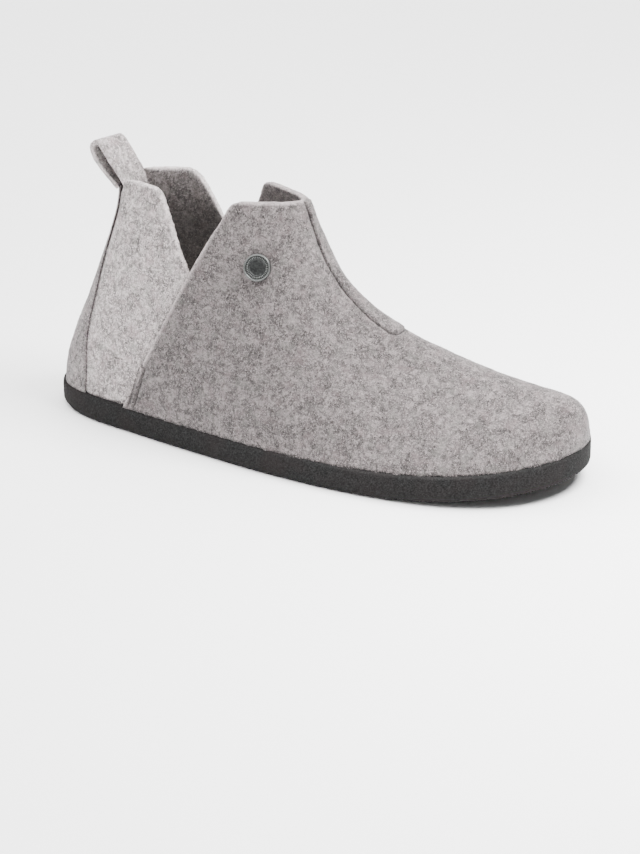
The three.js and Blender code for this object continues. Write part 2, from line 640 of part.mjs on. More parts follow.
add('outsole', makeOutsole(), 'sole');
add('upper', makeUpper(), 'felt');
add('heel_strip', makeHeelStrip(), 'felt');
add('pull_loop', makePullLoop(0), 'felt');
add('instep_strip', makeInstepStrip(), 'felt');
add('footbed_cork', makeCork(), 'cork');
add('footbed_fleece', makeFleece(), 'fleece');
const rivet = add('rivet_cap', makeRivet(), 'metal');
const seat = lateralFace(RIVET_X, RIVET_Z);
rivet.position.copy(seat.point.addScaledVector(seat.normal, 2 * GAP));
rivet.quaternion.setFromUnitVectors(new THREE.Vector3(0, 1, 0), seat.normal);

// The origin lies on the ground under the middle of the whole slipper.
slipper.updateMatrixWorld(true);
const bounds = new THREE.Box3().setFromObject(slipper, true);
pieces.position.set(-(bounds.min.x + bounds.max.x) / 2, -(bounds.min.y + bounds.max.y) / 2, -bounds.min.z);

export default slipper;
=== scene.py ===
# Felt slipper for the right foot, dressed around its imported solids: thick mottled felt, a pull loop, a
# narrow instep strip, a dark sheet sole, a cork and fleece footbed and one rivet.
import math

import bmesh
import bpy
import numpy as np
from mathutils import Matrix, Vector, noise


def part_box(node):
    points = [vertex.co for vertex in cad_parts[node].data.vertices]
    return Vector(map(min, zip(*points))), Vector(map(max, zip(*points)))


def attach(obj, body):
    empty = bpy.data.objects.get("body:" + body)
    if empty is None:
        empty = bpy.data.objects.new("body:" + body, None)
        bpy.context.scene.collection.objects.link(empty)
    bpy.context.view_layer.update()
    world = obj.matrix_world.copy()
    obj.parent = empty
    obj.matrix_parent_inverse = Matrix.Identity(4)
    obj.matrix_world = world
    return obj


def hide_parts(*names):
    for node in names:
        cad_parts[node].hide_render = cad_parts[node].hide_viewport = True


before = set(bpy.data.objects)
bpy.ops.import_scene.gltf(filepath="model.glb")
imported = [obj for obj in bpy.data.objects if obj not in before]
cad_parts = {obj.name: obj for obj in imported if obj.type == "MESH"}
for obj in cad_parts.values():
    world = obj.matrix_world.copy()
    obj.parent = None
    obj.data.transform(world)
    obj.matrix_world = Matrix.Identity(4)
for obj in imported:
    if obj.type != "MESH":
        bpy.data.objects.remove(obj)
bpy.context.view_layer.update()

# Camera: the photograph's view of the outer side, from in front of the toe and a little above, with a
# long lens. The slipper's heel end on the ground is the zero of the maker's own measures in millimetres.
MM = 0.001
SOLE_LENGTH = 273.5
PHOTO_WIDTH, PHOTO_HEIGHT = 640, 854
VIEW_AZIMUTH = math.radians(26.94)
VIEW_ELEVATION = math.radians(23.07)
VIEW_DISTANCE = 1400.0
VIEW_TARGET = (136.0, 0.0, 40.0)
TARGET_PIXEL = (314.11, 362.08)
FOCAL_PIXELS = 2926.0
SENSOR = 36.0
HEEL_MIDDLE_Y = 0.3

ZERO = Vector((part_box("outsole")[0].x / MM, HEEL_MIDDLE_Y, 0.0))
back = Vector((
    math.sin(VIEW_AZIMUTH) * math.cos(VIEW_ELEVATION),
    -math.cos(VIEW_AZIMUTH) * math.cos(VIEW_ELEVATION),
    math.sin(VIEW_ELEVATION),
))
right = Vector((math.cos(VIEW_AZIMUTH), math.sin(VIEW_AZIMUTH), 0))
above = back.cross(right)
aside = (PHOTO_WIDTH / 2 - TARGET_PIXEL[0]) / FOCAL_PIXELS
below = (PHOTO_HEIGHT / 2 - TARGET_PIXEL[1]) / FOCAL_PIXELS
lens = bpy.data.cameras.new("camera")
lens.sensor_width = SENSOR
lens.lens = FOCAL_PIXELS * SENSOR / PHOTO_HEIGHT
camera = bpy.data.objects.new("camera", lens)
camera.location = (ZERO + Vector(VIEW_TARGET) + VIEW_DISTANCE * back) * MM
camera.rotation_euler = (-back + aside * right - below * above).to_track_quat("-Z", "Y").to_euler()
bpy.context.scene.collection.objects.link(camera)
bpy.context.scene.camera = camera

# Stage: a plain pale floor under plain soft studio light, most of it from above and from the heel's side,
# so broad that it leaves hardly any shadow.
FLOOR_SIZE = 60.0
FLOOR_TONE = (0.97, 0.97, 0.97, 1)
SKY_TONE = (1.0, 1.0, 1.0, 1)
SKY_STRENGTH = 0.34
LAMPS = [
    {"name": "overhead_light", "kind": "SUN", "place": (-0.15, 0.12, 1.0), "spread": 1.5, "strength": 8.6},
    {"name": "heel_side_light", "kind": "SUN", "place": (-0.85, -0.4, 0.42), "spread": 1.0, "strength": 2.4},
    {"name": "toe_light", "kind": "AREA", "place": (0.34, 0.06, 0.55), "spread": 0.3, "strength": 13.0},
]


def shader(name, tone, roughness):
    """A new material with its Principled shader and its node tree."""
    material = bpy.data.materials.new(name)
    material.use_nodes = True
    principled = material.node_tree.nodes["Principled BSDF"]
    principled.inputs["Base Color"].default_value = tone
    principled.inputs["Roughness"].default_value = roughness
    return material, material.node_tree, principled


def mesh_object(name, points, faces, smooth=True):
    """An object in metres from points in the maker's millimetres."""
    mesh = bpy.data.meshes.new(name)
    placed = (np.asarray(points, float) + np.array(ZERO)) * MM
    mesh.from_pydata(placed.tolist(), [], [tuple(int(k) for k in face) for face in faces])
    mesh.polygons.foreach_set("use_smooth", [smooth] * len(mesh.polygons))
    piece = bpy.data.objects.new(name, mesh)
    bpy.context.scene.collection.objects.link(piece)
    return piece


half_floor = FLOOR_SIZE / MM / 2
floor = mesh_object(
    "floor", [(-half_floor, -half_floor, 0), (half_floor, -half_floor, 0), (half_floor, half_floor, 0),
              (-half_floor, half_floor, 0)], [(0, 1, 2, 3)])
floor_finish, tree, principled = shader("floor_finish", FLOOR_TONE, 0.9)
floor.data.materials.append(floor_finish)

world = bpy.data.worlds.new("studio")
world.use_nodes = True
world.node_tree.nodes["Background"].inputs["Color"].default_value = SKY_TONE
world.node_tree.nodes["Background"].inputs["Strength"].default_value = SKY_STRENGTH
bpy.context.scene.world = world
for lamp in LAMPS:
    data = bpy.data.lights.new(lamp["name"], lamp["kind"])
    if lamp["kind"] == "SUN":
        data.angle = lamp["spread"]
    else:
        data.size = lamp["spread"]
    data.energy = lamp["strength"]
    light = bpy.data.objects.new(lamp["name"], data)
    light.location = lamp["place"]
    aim = Vector(lamp["place"]) if lamp["kind"] == "SUN" else Vector((0.0, 0.0, lamp["place"][2]))
    light.rotation_euler = (-aim).to_track_quat("-Z", "Y").to_euler()
    bpy.context.scene.collection.objects.link(light)

# Vamp: the front of the upper, one cut of 4 mm wool felt over the instep and toes, its straight back
# edge lapped over the heel panels and its foot lasted to the sole. The last's sections shape it.
HEEL_WIDTH = 66.0
BALL_WIDTH = 95.0
TOE_SWING = 8.5
SOLE_THICKNESS = 12.3
TOE_SPRING = 9.0
SPRING_START = 0.6
SOLE_LEDGE = 0.4
COLLAR_HEIGHT = 120.5
INSTEP_HEIGHT = 78.0
HEEL_LEAN = 30.5
FELT = 4.0
VAMP_STEP = 2.4
DEEP = FELT + VAMP_STEP
OVERLAP = 12.0
VAMP_TOP_X = 100.5
VAMP_FOOT_X = 48.5
NOTCH_TOP_X = 62.0
NOTCH_DEPTH = 38.5
NOTCH_FOOT = COLLAR_HEIGHT - NOTCH_DEPTH
CORNER = 4.0
FELT_HEM = 3.0
FELT_SINK = 0.5
GAP = 0.3
HEEL_BLEND = 0.32
OUTLINE_END = 0.08
NARROWING = 1.1
RIDGE_START = 0.42
RIDGE = 2.5
STATIONS = 168
ACROSS = 56
SECTION_STEPS = 160
SOFTENING = 3
FAR = 300.0
# Where the painted shade inside the upper starts, and how fast it deepens downwards.
INNER_DEPTH_TOP = 116.0
INNER_DEPTH_SPAN = 45.0
COLLAR_SHADE = 0.45
# Width of the painted shade where the felt meets the sole.
SOLE_SEAM_SHADE_WIDTH = 0.9
# Width of the pale cut edges: the felt's own nap and a painted highlight.
EDGE_NAP_AND_HIGHLIGHT_WIDTH = 0.9

OUTLINE = {
    "columns": ("along", "heel", "lateral", "medial", "swing"),
    "rows": [
        (0.0, 1.0, 0.0, 0.0, 0),
        (0.1, 1.0, 0.576, 0.576, 0),
        (0.2, 1.0, 0.903, 0.909, 0),
        (0.3, 1.0, 1.097, 1.0, 0.04),
        (0.4, 0.5, 1.076, 0.77, 0.13),
        (0.5, 0.0, 1.048, 0.66, 0.25),
        (0.6, 0.0, 1.107, 0.83, 0.42),
        (0.7, 0.0, 1.06, 0.9, 0.66),
        (0.8, 0.0, 0.84, 0.745, 0.85),
        (0.9, 0.0, 0.455, 0.42, 0.96),
        (1.0, 0.0, 0.0, 0.0, 1),
    ],
}
SECTIONS = {
    "columns": ("along", "ankle", "instep", "back", "lean", "outer", "inner", "round"),
    "rows": [
        (0.0, 1.24, 0.0, 0.0, 1.0, 0.5, 0.5, 8),
        (0.1, 1.24, 0.0, 0.0, 0.98, 0.48, 0.5, 8),
        (0.2, 1.24, 0.0, 0.0, 0.82, 0.47, 0.62, 8),
        (0.3, 1.24, 0.0, 0.0, 0.45, 0.5, 0.75, 8),
        (0.4, 1.22, 0.0, 0.0, 0.1, 0.39, 0.56, 7),
        (0.5, 1.12, 0.0, 0.052, 0.0, 0.21, 0.31, 4),
        (0.55, 1.01, 0.0, 0.098, 0.0, 0.13, 0.17, 3),
        (0.6, 0.0, 1.21, 0.138, 0.0, 0.14, 0.15, 2.5),
        (0.65, 0.0, 0.92, 0.131, 0.0, 0.25, 0.23, 2.4),
        (0.7, 0.0, 0.755, 0.09, 0.0, 0.4, 0.34, 2.3),
        (0.75, 0.0, 0.648, 0.055, 0.0, 0.5, 0.44, 2.3),
        (0.8, 0.0, 0.592, 0.03, 0.0, 0.6, 0.54, 2.3),
        (0.9, 0.0, 0.545, 0.007, 0.0, 0.7, 0.7, 2.6),
        (1.0, 0.0, 0.42, 0.0, 0.0, 0.8, 0.8, 3),
    ],
}
HEEL_LINE = {
    "columns": ("height", "lean"),
    "rows": [(0.1, 0.0), (0.22, 0.06), (0.37, 0.26), (0.5, 0.47), (0.65, 0.68), (0.8, 0.885), (0.92, 0.99),
             (1.3, 1.03)],
}


def follow(table, column, at):
    """A smooth line through one column of a table, at one place or many."""
    rows = np.array(table["rows"], float)
    x, v = rows[:, 0], rows[:, table["columns"].index(column)]
    slope = np.gradient(v, x)
    slope[1:-1] = (v[2:] - v[:-2]) / (x[2:] - x[:-2])
    at = np.clip(at, x[0], x[-1])
    i = np.clip(np.searchsorted(x, at, side="right") - 1, 0, len(x) - 2)
    span = x[i + 1] - x[i]
    t = (at - x[i]) / span
    m, n = slope[i] * span, slope[i + 1] * span
    step = v[i + 1] - v[i]
    return v[i] + t * (m + t * (3 * step - 2 * m - n + t * (m + n - 2 * step)))


def mix(a, b, t):
    return a + (b - a) * t


def fade(t):
    t = np.clip(t, 0, 1)
    return t * t * (3 - 2 * t)


def station_x(along):
    return SOLE_LENGTH * (1 - np.cos(np.pi * along)) / 2


def along_at(x):
    return np.arccos(np.clip(1 - 2 * x / SOLE_LENGTH, -1, 1)) / np.pi


def swing_at(along):
    return TOE_SWING * follow(OUTLINE, "swing", along)


def half_width(along, side):
    base = mix(BALL_WIDTH, HEEL_WIDTH, follow(OUTLINE, "heel", along)) / 2
    return np.maximum(0, base * follow(OUTLINE, "lateral" if side < 0 else "medial", along))


def lift_at(x):
    start = SPRING_START * SOLE_LENGTH
    return TOE_SPRING * np.clip((x - start) / (SOLE_LENGTH - start), 0, None) ** 2


def heel_line_x(z):
    return HEEL_LEAN * follow(HEEL_LINE, "lean", z / COLLAR_HEIGHT)


def side_curve(along, side):
    """One side of a section over the foot, its points evenly spaced from the foot to the crown."""
    angle = np.linspace(0, 1, SECTION_STEPS + 1) ** 2 * np.pi / 2
    x = station_x(along)
    base = SOLE_THICKNESS - FELT_HEM + lift_at(x)
    crown = COLLAR_HEIGHT * follow(SECTIONS, "ankle", along)
    crown = crown + INSTEP_HEIGHT * follow(SECTIONS, "instep", along)
    ledge = VAMP_STEP * (1 - fade(along / HEEL_BLEND)) - SOLE_LEDGE
    feet = half_width(along, side) + ledge * min(1, along / OUTLINE_END, (1 - along) / OUTLINE_END)
    mean = (half_width(along, -1) + half_width(along, 1)) / 2
    top = mean * follow(SECTIONS, "outer" if side < 0 else "inner", along)
    h = np.sin(angle) ** (2 / follow(SECTIONS, "round", along))
    z = mix(base, crown, h)
    width = mix(feet, top, h ** NARROWING) * np.cos(angle)
    lean = heel_line_x(z) * follow(SECTIONS, "lean", along)
    back_shift = SOLE_LENGTH * follow(SECTIONS, "back", along) * h
    points = np.stack([x + lean - back_shift, swing_at(along) + side * width, z], axis=1)
    run = np.concatenate([[0], np.cumsum(np.linalg.norm(np.diff(points, axis=0), axis=1))])
    even = np.linspace(0, run[-1], ACROSS + 1)
    return np.stack([np.interp(even, run, points[:, k]) for k in range(3)], axis=1)


def upper_grid():
    """The upper's outer face, its sections softened along the foot so that none shows as a fold."""
    rows = []
    for along in np.linspace(0, 1, STATIONS + 1):
        rows.append(np.concatenate([side_curve(along, -1), side_curve(along, 1)[-2::-1]]))
    face = np.array(rows)
    for _ in range(SOFTENING * SOFTENING):
        face[2:-2] = (face[1:-3] + 2 * face[2:-2] + face[3:-1]) / 4
    return face


GRID = upper_grid()
ahead_step = np.gradient(GRID, axis=0)
over_step = np.gradient(GRID, axis=1)
NORMALS = np.cross(ahead_step, over_step)
NORMALS[[0, -1], :, 1] = 0
NORMALS /= np.maximum(np.linalg.norm(NORMALS, axis=2, keepdims=True), 1e-9)


def shifted(distance):
    """The outer face moved out or, with a negative distance, in. Inside the ridge the sides never cross."""
    face = GRID + NORMALS * distance
    depth = -distance
    if depth > 0:
        first = int(RIDGE_START * STATIONS) + 1
        middle = swing_at(np.linspace(0, 1, STATIONS + 1))[first:, None]
        room = np.abs(GRID[first:, :, 1] - middle) * depth / (depth + RIDGE)
        ny = NORMALS[first:, :, 1]
        face[first:, :, 1] = GRID[first:, :, 1] - np.sign(ny) * np.minimum(depth * np.abs(ny), room)
    return face


def shell(name, outer, inner):
    """A closed wall between two such faces, open below."""
    count, wide = STATIONS + 1, GRID.shape[1]
    deep = count * wide
    points = np.concatenate([shifted(outer).reshape(-1, 3), shifted(inner).reshape(-1, 3)])
    at = np.arange(deep).reshape(count, wide)
    outside = np.stack([at[:-1, :-1], at[1:, :-1], at[1:, 1:], at[:-1, 1:]], axis=-1).reshape(-1, 4)
    inside = outside[:, ::-1] + deep
    first, last = at[:, 0], at[:, -1]
    foot = np.stack([first[:-1], first[:-1] + deep, first[1:] + deep, first[1:]], axis=-1)
    hem = np.stack([last[1:], last[1:] + deep, last[:-1] + deep, last[:-1]], axis=-1)
    piece = mesh_object(name, points, np.concatenate([outside, inside, foot, hem]))
    close_up(piece)
    return piece


def close_up(piece):
    """Merges what lies on one point, so that the piece is one closed body."""
    body = bmesh.new()
    body.from_mesh(piece.data)
    bmesh.ops.remove_doubles(body, verts=body.verts, dist=2e-6)
    bmesh.ops.dissolve_degenerate(body, edges=body.edges, dist=1e-6)
    bmesh.ops.triangulate(body, faces=body.faces)
    bmesh.ops.recalc_face_normals(body, faces=body.faces)
    body.to_mesh(piece.data)
    body.free()


def prism(name, outline, start, end, upright=False):
    """A closed prism from an outline: of x and z across the slipper, or upright from x and y."""
    count = len(outline)
    points = [(x, y, level) if upright else (x, level, y) for level in (start, end) for x, y in outline]
    faces = [tuple(range(count)), tuple(range(2 * count - 1, count - 1, -1))]
    faces += [(i, (i + 1) % count, count + (i + 1) % count, count + i) for i in range(count)]
    piece = mesh_object(name, points, faces, smooth=False)
    close_up(piece)
    return piece


def cut(piece, tool, operation="DIFFERENCE"):
    modifier = piece.modifiers.new(tool.name, "BOOLEAN")
    modifier.operation = operation
    modifier.object = tool
    modifier.solver = "EXACT"


def settle(piece, voxel, rounds):
    """Applies the cuts and rounds every cut edge as soft felt rounds."""
    remesh = piece.modifiers.new("even", "REMESH")
    remesh.mode = "VOXEL"
    remesh.voxel_size = voxel * MM
    remesh.use_smooth_shade = True
    soft = piece.modifiers.new("soft", "SMOOTH")
    soft.factor = 0.5
    soft.iterations = rounds
    bpy.context.view_layer.update()
    made = bpy.data.meshes.new_from_object(piece.evaluated_get(bpy.context.evaluated_depsgraph_get()))
    piece.modifiers.clear()
    piece.data = made
    return piece


def points_of(piece):
    """The piece's points in the maker's millimetres, and its normals."""
    mesh = piece.data
    flat = np.empty(3 * len(mesh.vertices))
    mesh.vertices.foreach_get("co", flat)
    normals = np.empty(3 * len(mesh.vertices))
    mesh.vertex_normals.foreach_get("vector", normals)
    return flat.reshape(-1, 3) / MM - np.array(ZERO), normals.reshape(-1, 3)


def move_points(piece, points):
    piece.data.vertices.foreach_set("co", ((points + np.array(ZERO)) * MM).ravel())
    piece.data.update()


def grain(points, size, octaves, seed):
    """Soft uneven relief, about -1 to 1, with lumps of a size in millimetres."""
    shift = Vector((seed * 17.3, seed * 5.1, seed * 9.7))
    return np.array([noise.fractal(Vector(p) / size + shift, 0.7, 2.1, octaves) for p in points.tolist()])


def to_line(points, line):
    """Distance in side view from each point to a line of (x, z) places."""
    flat = points[:, [0, 2]]
    best = np.full(len(flat), 1e9)
    for start, end in zip(line[:-1], line[1:]):
        a, b = np.array(start, float), np.array(end, float)
        t = np.clip(((flat - a) @ (b - a)) / max(((b - a) ** 2).sum(), 1e-9), 0, 1)
        best = np.minimum(best, np.linalg.norm(flat - a - t[:, None] * (b - a), axis=1))
    return best


def band(distance, width):
    """A share that is 1 on a line and fades out over a width."""
    return np.exp(-((distance / width) ** 2))


def relief(points, coarse, fine, seed):
    """Uneven relief in two layers, each a depth and a lump size in millimetres."""
    return coarse[0] * grain(points, coarse[1], 3, seed) + fine[0] * grain(points, fine[1], 2, seed + 1)


def folded(push, points, folds):
    """The relief with soft troughs and ridges added along their lines."""
    for fold in folds:
        push = push + fold["depth"] * band(to_line(points, fold["line"]), fold["width"])
    return push


def over_sole(points):
    """How far each point lies above the line where the felt meets the sole."""
    return points[:, 2] - SOLE_THICKNESS - lift_at(points[:, 0])


def store(piece, name, values):
    layer = piece.data.attributes.new(name, "FLOAT", "POINT")
    layer.data.foreach_set("value", np.asarray(values, np.float32))


def inner_depth_share(places, outward):
    """The inner face's share, more the deeper it lies: the mask of the painted shade inside the heel panels
    and of the painted light inside the vamp.
    """
    middle = swing_at(along_at(places[:, 0]))
    inward = np.clip(-outward[:, 1] * np.sign(places[:, 1] - middle) * 3 - 0.6, 0, 1)
    return inward * np.clip(COLLAR_SHADE + (INNER_DEPTH_TOP - places[:, 2]) / INNER_DEPTH_SPAN, 0, 1)


def vamp_edge_x(z):
    return mix(VAMP_FOOT_X, VAMP_TOP_X, (z - SOLE_THICKNESS) / (COLLAR_HEIGHT - SOLE_THICKNESS))


def above_collar():
    """Everything above the collar, with the V of the side cut-outs hanging from it."""
    slope = (vamp_edge_x(NOTCH_FOOT) - NOTCH_TOP_X) / NOTCH_DEPTH
    low, near, tuck = COLLAR_HEIGHT - CORNER, COLLAR_HEIGHT - CORNER / 3, CORNER / 10
    return prism("above_collar", [
        (-FAR, COLLAR_HEIGHT), (NOTCH_TOP_X - CORNER, COLLAR_HEIGHT), (NOTCH_TOP_X - tuck, near),
        (NOTCH_TOP_X + CORNER * slope, low), (vamp_edge_x(NOTCH_FOOT), NOTCH_FOOT), (vamp_edge_x(low), low),
        (vamp_edge_x(near) + tuck, near), (VAMP_TOP_X + CORNER, COLLAR_HEIGHT), (2 * FAR, COLLAR_HEIGHT),
        (2 * FAR, FAR), (-FAR, FAR)], -FAR, FAR)


def under_felt():
    """Everything below the sole's top, into which the glued felt sinks a little."""
    spots = np.linspace(-FAR, 2 * FAR, 181)
    line = [(x, SOLE_THICKNESS - FELT_SINK + float(lift_at(min(x, SOLE_LENGTH + 20)))) for x in spots]
    return prism("under_felt", [(-FAR, -FAR)] + line + [(2 * FAR, -FAR)], -FAR, FAR)


TONGUE_TOP_WIDTH = 5.0
TONGUE_FOOT_WIDTH = 11.0
TONGUE_END_X = 181.0
TONGUE_SHIFT = 1.2
TONGUE_FLARE = 0.36
STRIP_SUNK = 1.5


def tongue_prism(name, grow):
    """The instep strip from above, widening from the collar to its rounded end."""
    start_x = VAMP_TOP_X + CORNER
    top, foot = TONGUE_TOP_WIDTH / 2 + grow, TONGUE_FOOT_WIDTH / 2 + grow
    round_x = TONGUE_END_X - foot + grow
    narrow_x = mix(start_x, TONGUE_END_X, TONGUE_FLARE)
    turn = np.linspace(-np.pi / 2, np.pi / 2, 13)
    outline = [(start_x, -top), (narrow_x, -top)]
    outline += [(round_x + foot * math.cos(a), foot * math.sin(a)) for a in turn]
    outline += [(narrow_x, top), (start_x, top)]
    outline = [(x, y + float(swing_at(along_at(x))) + TONGUE_SHIFT) for x, y in outline]
    return prism(name, outline, 0, FAR, upright=True)


def bumps(tree, height, strength, distance, under=None):
    """Relief in the shading only, its distance in millimetres, over another relief where one is given."""
    node = tree.nodes.new("ShaderNodeBump")
    node.inputs["Strength"].default_value = strength
    node.inputs["Distance"].default_value = distance * MM
    tree.links.new(height, node.inputs["Height"])
    if under is not None:
        tree.links.new(under, node.inputs["Normal"])
    return node.outputs["Normal"]


def felt_finish(name, tone, seed):
    """Wool felt: short fibres of several greys matted together, in clusters 5 to 10 mm across."""
    material, tree, principled = shader(name, tone, 0.96)
    principled.inputs["Sheen Weight"].default_value = 0.12
    principled.inputs["Sheen Roughness"].default_value = 0.6
    principled.inputs["Specular IOR Level"].default_value = 0.15
    nodes, link = tree.nodes, tree.links.new
    place = nodes.new("ShaderNodeTexCoord")
    shift = nodes.new("ShaderNodeMapping")
    shift.inputs["Location"].default_value = (seed * 0.37, seed * 0.21, seed * 0.53)
    link(place.outputs["Object"], shift.inputs["Vector"])

    def cloud(size, detail, roughness, distortion=0.0, stretch=(1, 1, 1), turn=(0, 0, 0)):
        texture = nodes.new("ShaderNodeTexNoise")
        texture.inputs["Scale"].default_value = 1 / (size * MM)
        texture.inputs["Detail"].default_value = detail
        texture.inputs["Roughness"].default_value = roughness
        texture.inputs["Distortion"].default_value = distortion
        lay = nodes.new("ShaderNodeMapping")
        lay.inputs["Scale"].default_value = stretch
        lay.inputs["Rotation"].default_value = turn
        link(shift.outputs["Vector"], lay.inputs["Vector"])
        link(lay.outputs["Vector"], texture.inputs["Vector"])
        return texture.outputs["Fac"]

    def span(value, low, high, out_low=0.0, out_high=1.0):
        ramp = nodes.new("ShaderNodeMapRange")
        ramp.inputs["From Min"].default_value = low
        ramp.inputs["From Max"].default_value = high
        ramp.inputs["To Min"].default_value = out_low
        ramp.inputs["To Max"].default_value = out_high
        link(value, ramp.inputs["Value"])
        return ramp.outputs["Result"]

    def product(a, b):
        times = nodes.new("ShaderNodeMath")
        times.operation = "MULTIPLY"
        link(a, times.inputs[0])
        link(b, times.inputs[1])
        return times.outputs["Value"]

    def layer(under, over, amount):
        blend = nodes.new("ShaderNodeMix")
        blend.data_type = "RGBA"
        link(amount, blend.inputs["Factor"])
        if isinstance(under, tuple):
            blend.inputs["A"].default_value = under
        else:
            link(under, blend.inputs["A"])
        blend.inputs["B"].default_value = over
        return blend.outputs["Result"]

    def scaled(*shares):
        return tuple(c * share for c, share in zip(tone, shares * (3 // len(shares)))) + (1.0,)

    def stored(attribute):
        node = nodes.new("ShaderNodeAttribute")
        node.attribute_name = attribute
        return node.outputs["Fac"]

    clusters = cloud(7.5, 3, 0.6)
    patches = cloud(2.6, 4, 0.65, 0.6)
    flecks = cloud(0.85, 3, 0.7, 1.2)
    glints = cloud(0.75, 2, 0.65, 1.0, turn=(0.5, 1.1, 0.2))
    long_hairs = cloud(2.6, 3, 0.6, 0.9, stretch=(1, 6, 5), turn=(0.2, 0.3, 0.9))
    cross_hairs = cloud(2.6, 3, 0.6, 0.9, stretch=(6, 5, 1), turn=(0.9, 0.1, 0.4))
    hue = cloud(5.5, 2, 0.5, turn=(1.3, 0.4, 0.8))
    colour = layer(tone, scaled(0.3), span(clusters, 0.42, 0.62, 0, 0.8))
    colour = layer(colour, scaled(0.22), span(patches, 0.48, 0.62, 0, 0.85))
    colour = layer(colour, scaled(1.75), span(patches, 0.48, 0.33, 0, 0.9))
    # Pale cut edges, partly the felt's own nap and partly painted highlight; on the vamp also painted light
    # on its inner face.
    colour = layer(colour, scaled(3.6), span(stored("rim"), 0.1, 0.9, 0, 0.95))
    # Painted shade: dark bands along the joins, the stitch grooves and the felt's foot on the sole.
    colour = layer(colour, scaled(0.08), span(stored("seam_shade"), 0.05, 0.8, 0, 1.0))
    dark = product(span(flecks, 0.5, 0.6), span(clusters, 0.35, 0.6, 0.45, 1.0))
    colour = layer(colour, scaled(0.12), dark)
    colour = layer(colour, scaled(2.1), span(glints, 0.54, 0.66, 0, 0.85))
    colour = layer(colour, scaled(0.25), span(long_hairs, 0.55, 0.66, 0, 0.65))
    colour = layer(colour, scaled(1.9), span(cross_hairs, 0.56, 0.67, 0, 0.65))
    colour = layer(colour, scaled(1.04, 0.93, 0.95), span(hue, 0.55, 0.7, 0, 0.4))
    colour = layer(colour, scaled(0.93, 1.02, 0.96), span(hue, 0.45, 0.3, 0, 0.4))
    # Painted shade: the inner face darkens, more the deeper it lies below the collar.
    colour = layer(colour, scaled(0.12), span(stored("inner_shade"), 0, 1, 0, 0.8))
    link(colour, principled.inputs["Base Color"])
    fine = bumps(tree, flecks, 0.55, 0.25)
    coarse = bumps(tree, patches, 0.5, 0.6, fine)
    link(bumps(tree, long_hairs, 0.4, 0.3, coarse), principled.inputs["Normal"])
    return material


# One felt in two tones: the panels are set paler as painted light, the vamp darker as painted shade.
FELT_TONE = (0.125, 0.109, 0.108, 1)
PANEL_TONE = (0.34, 0.304, 0.3, 1)
felt = felt_finish("grey_felt", FELT_TONE, 1)
panel_felt = felt_finish("panel_felt_painted_light", PANEL_TONE, 4)

# What the vamp's felt does by hand: soft troughs and ridges in side view, as (x, z) lines with a depth
# (negative is a trough) and a width in millimetres.
VAMP_FOLDS = [
    {"line": [(118, 104), (137, 70), (150, 44)], "depth": -0.9, "width": 9},
    {"line": [(150, 66), (166, 44), (172, 26)], "depth": 0.6, "width": 10},
    {"line": [(186, 58), (191, 40), (188, 24)], "depth": -0.5, "width": 9},
    {"line": [(86, 92), (78, 66), (66, 40)], "depth": 0.5, "width": 8},
    {"line": [(92, 112), (108, 108), (124, 112)], "depth": -0.5, "width": 5},
]
TACK_TOP = 35.0
TACK_LINE = [(60.0, TACK_TOP), (54.0, 14.5)]
TACK_SPACING = 3.4
TACK_DENT = 0.75
RIVET_SEAT = (117.5, 92.7)
RIVET_DENT = 0.5
RIVET_DENT_RADIUS = 8.5
NEAR_SIDE_FADE = 12.0
# Painted light on the vamp's inner face: its strength and the height over which it comes in.
PAINTED_INNER_LIGHT = 0.4
PAINTED_INNER_LIGHT_FOOT = 90.0
PAINTED_INNER_LIGHT_RISE = 12.0
BACK_NAP_AND_HIGHLIGHT_WIDTH = 1.5
COLLAR_FRONT_X = 150.0

vamp = shell("vamp_felt", 0, -FELT)
behind = prism("behind_vamp", [(vamp_edge_x(-FAR), -FAR), (vamp_edge_x(FAR), FAR), (-3 * FAR, FAR),
                               (-3 * FAR, -FAR)], -FAR, FAR)
collar_tool = above_collar()
foot_tool = under_felt()
tongue_pocket = shell("tongue_pocket", 2 * VAMP_STEP, -STRIP_SUNK - GAP)
tongue_outline = tongue_prism("tongue_outline", GAP / 2)
cut(tongue_pocket, tongue_outline, "INTERSECT")
for tool in (behind, collar_tool, foot_tool, tongue_pocket):
    cut(vamp, tool)
settle(vamp, 1.0, 4)
places, outward = points_of(vamp)
push = folded(relief(places, (0.16, 9), (0.1, 2.2), 1), places, VAMP_FOLDS)
near_side = fade((NEAR_SIDE_FADE / 2 - places[:, 1]) / NEAR_SIDE_FADE)
rivet_ring = np.hypot(places[:, 0] - RIVET_SEAT[0], places[:, 2] - RIVET_SEAT[1])
push = push - RIVET_DENT * np.exp(-((rivet_ring / RIVET_DENT_RADIUS) ** 4)) * near_side
offsets = (-TACK_SPACING / 2, TACK_SPACING / 2)
tack_rows = [[(x + off, z) for x, z in TACK_LINE] for off in offsets]
tack_rows.append([(TACK_LINE[0][0] + off, TACK_TOP) for off in offsets])
tack = np.min([to_line(places, row) for row in tack_rows], axis=0)
push = push - TACK_DENT * band(tack, 0.8)
move_points(vamp, places + outward * push[:, None])
back_edge = to_line(places, [(vamp_edge_x(12.0), 12.0), (VAMP_TOP_X, COLLAR_HEIGHT)])
collar_edge = to_line(places, [(VAMP_TOP_X, COLLAR_HEIGHT), (COLLAR_FRONT_X, COLLAR_HEIGHT)])
# Painted light: the vamp's inner face is lightened from about 90 mm up.
painted_inner_light = PAINTED_INNER_LIGHT * inner_depth_share(places, outward) * fade((places[:, 2] - PAINTED_INNER_LIGHT_FOOT) / PAINTED_INNER_LIGHT_RISE)
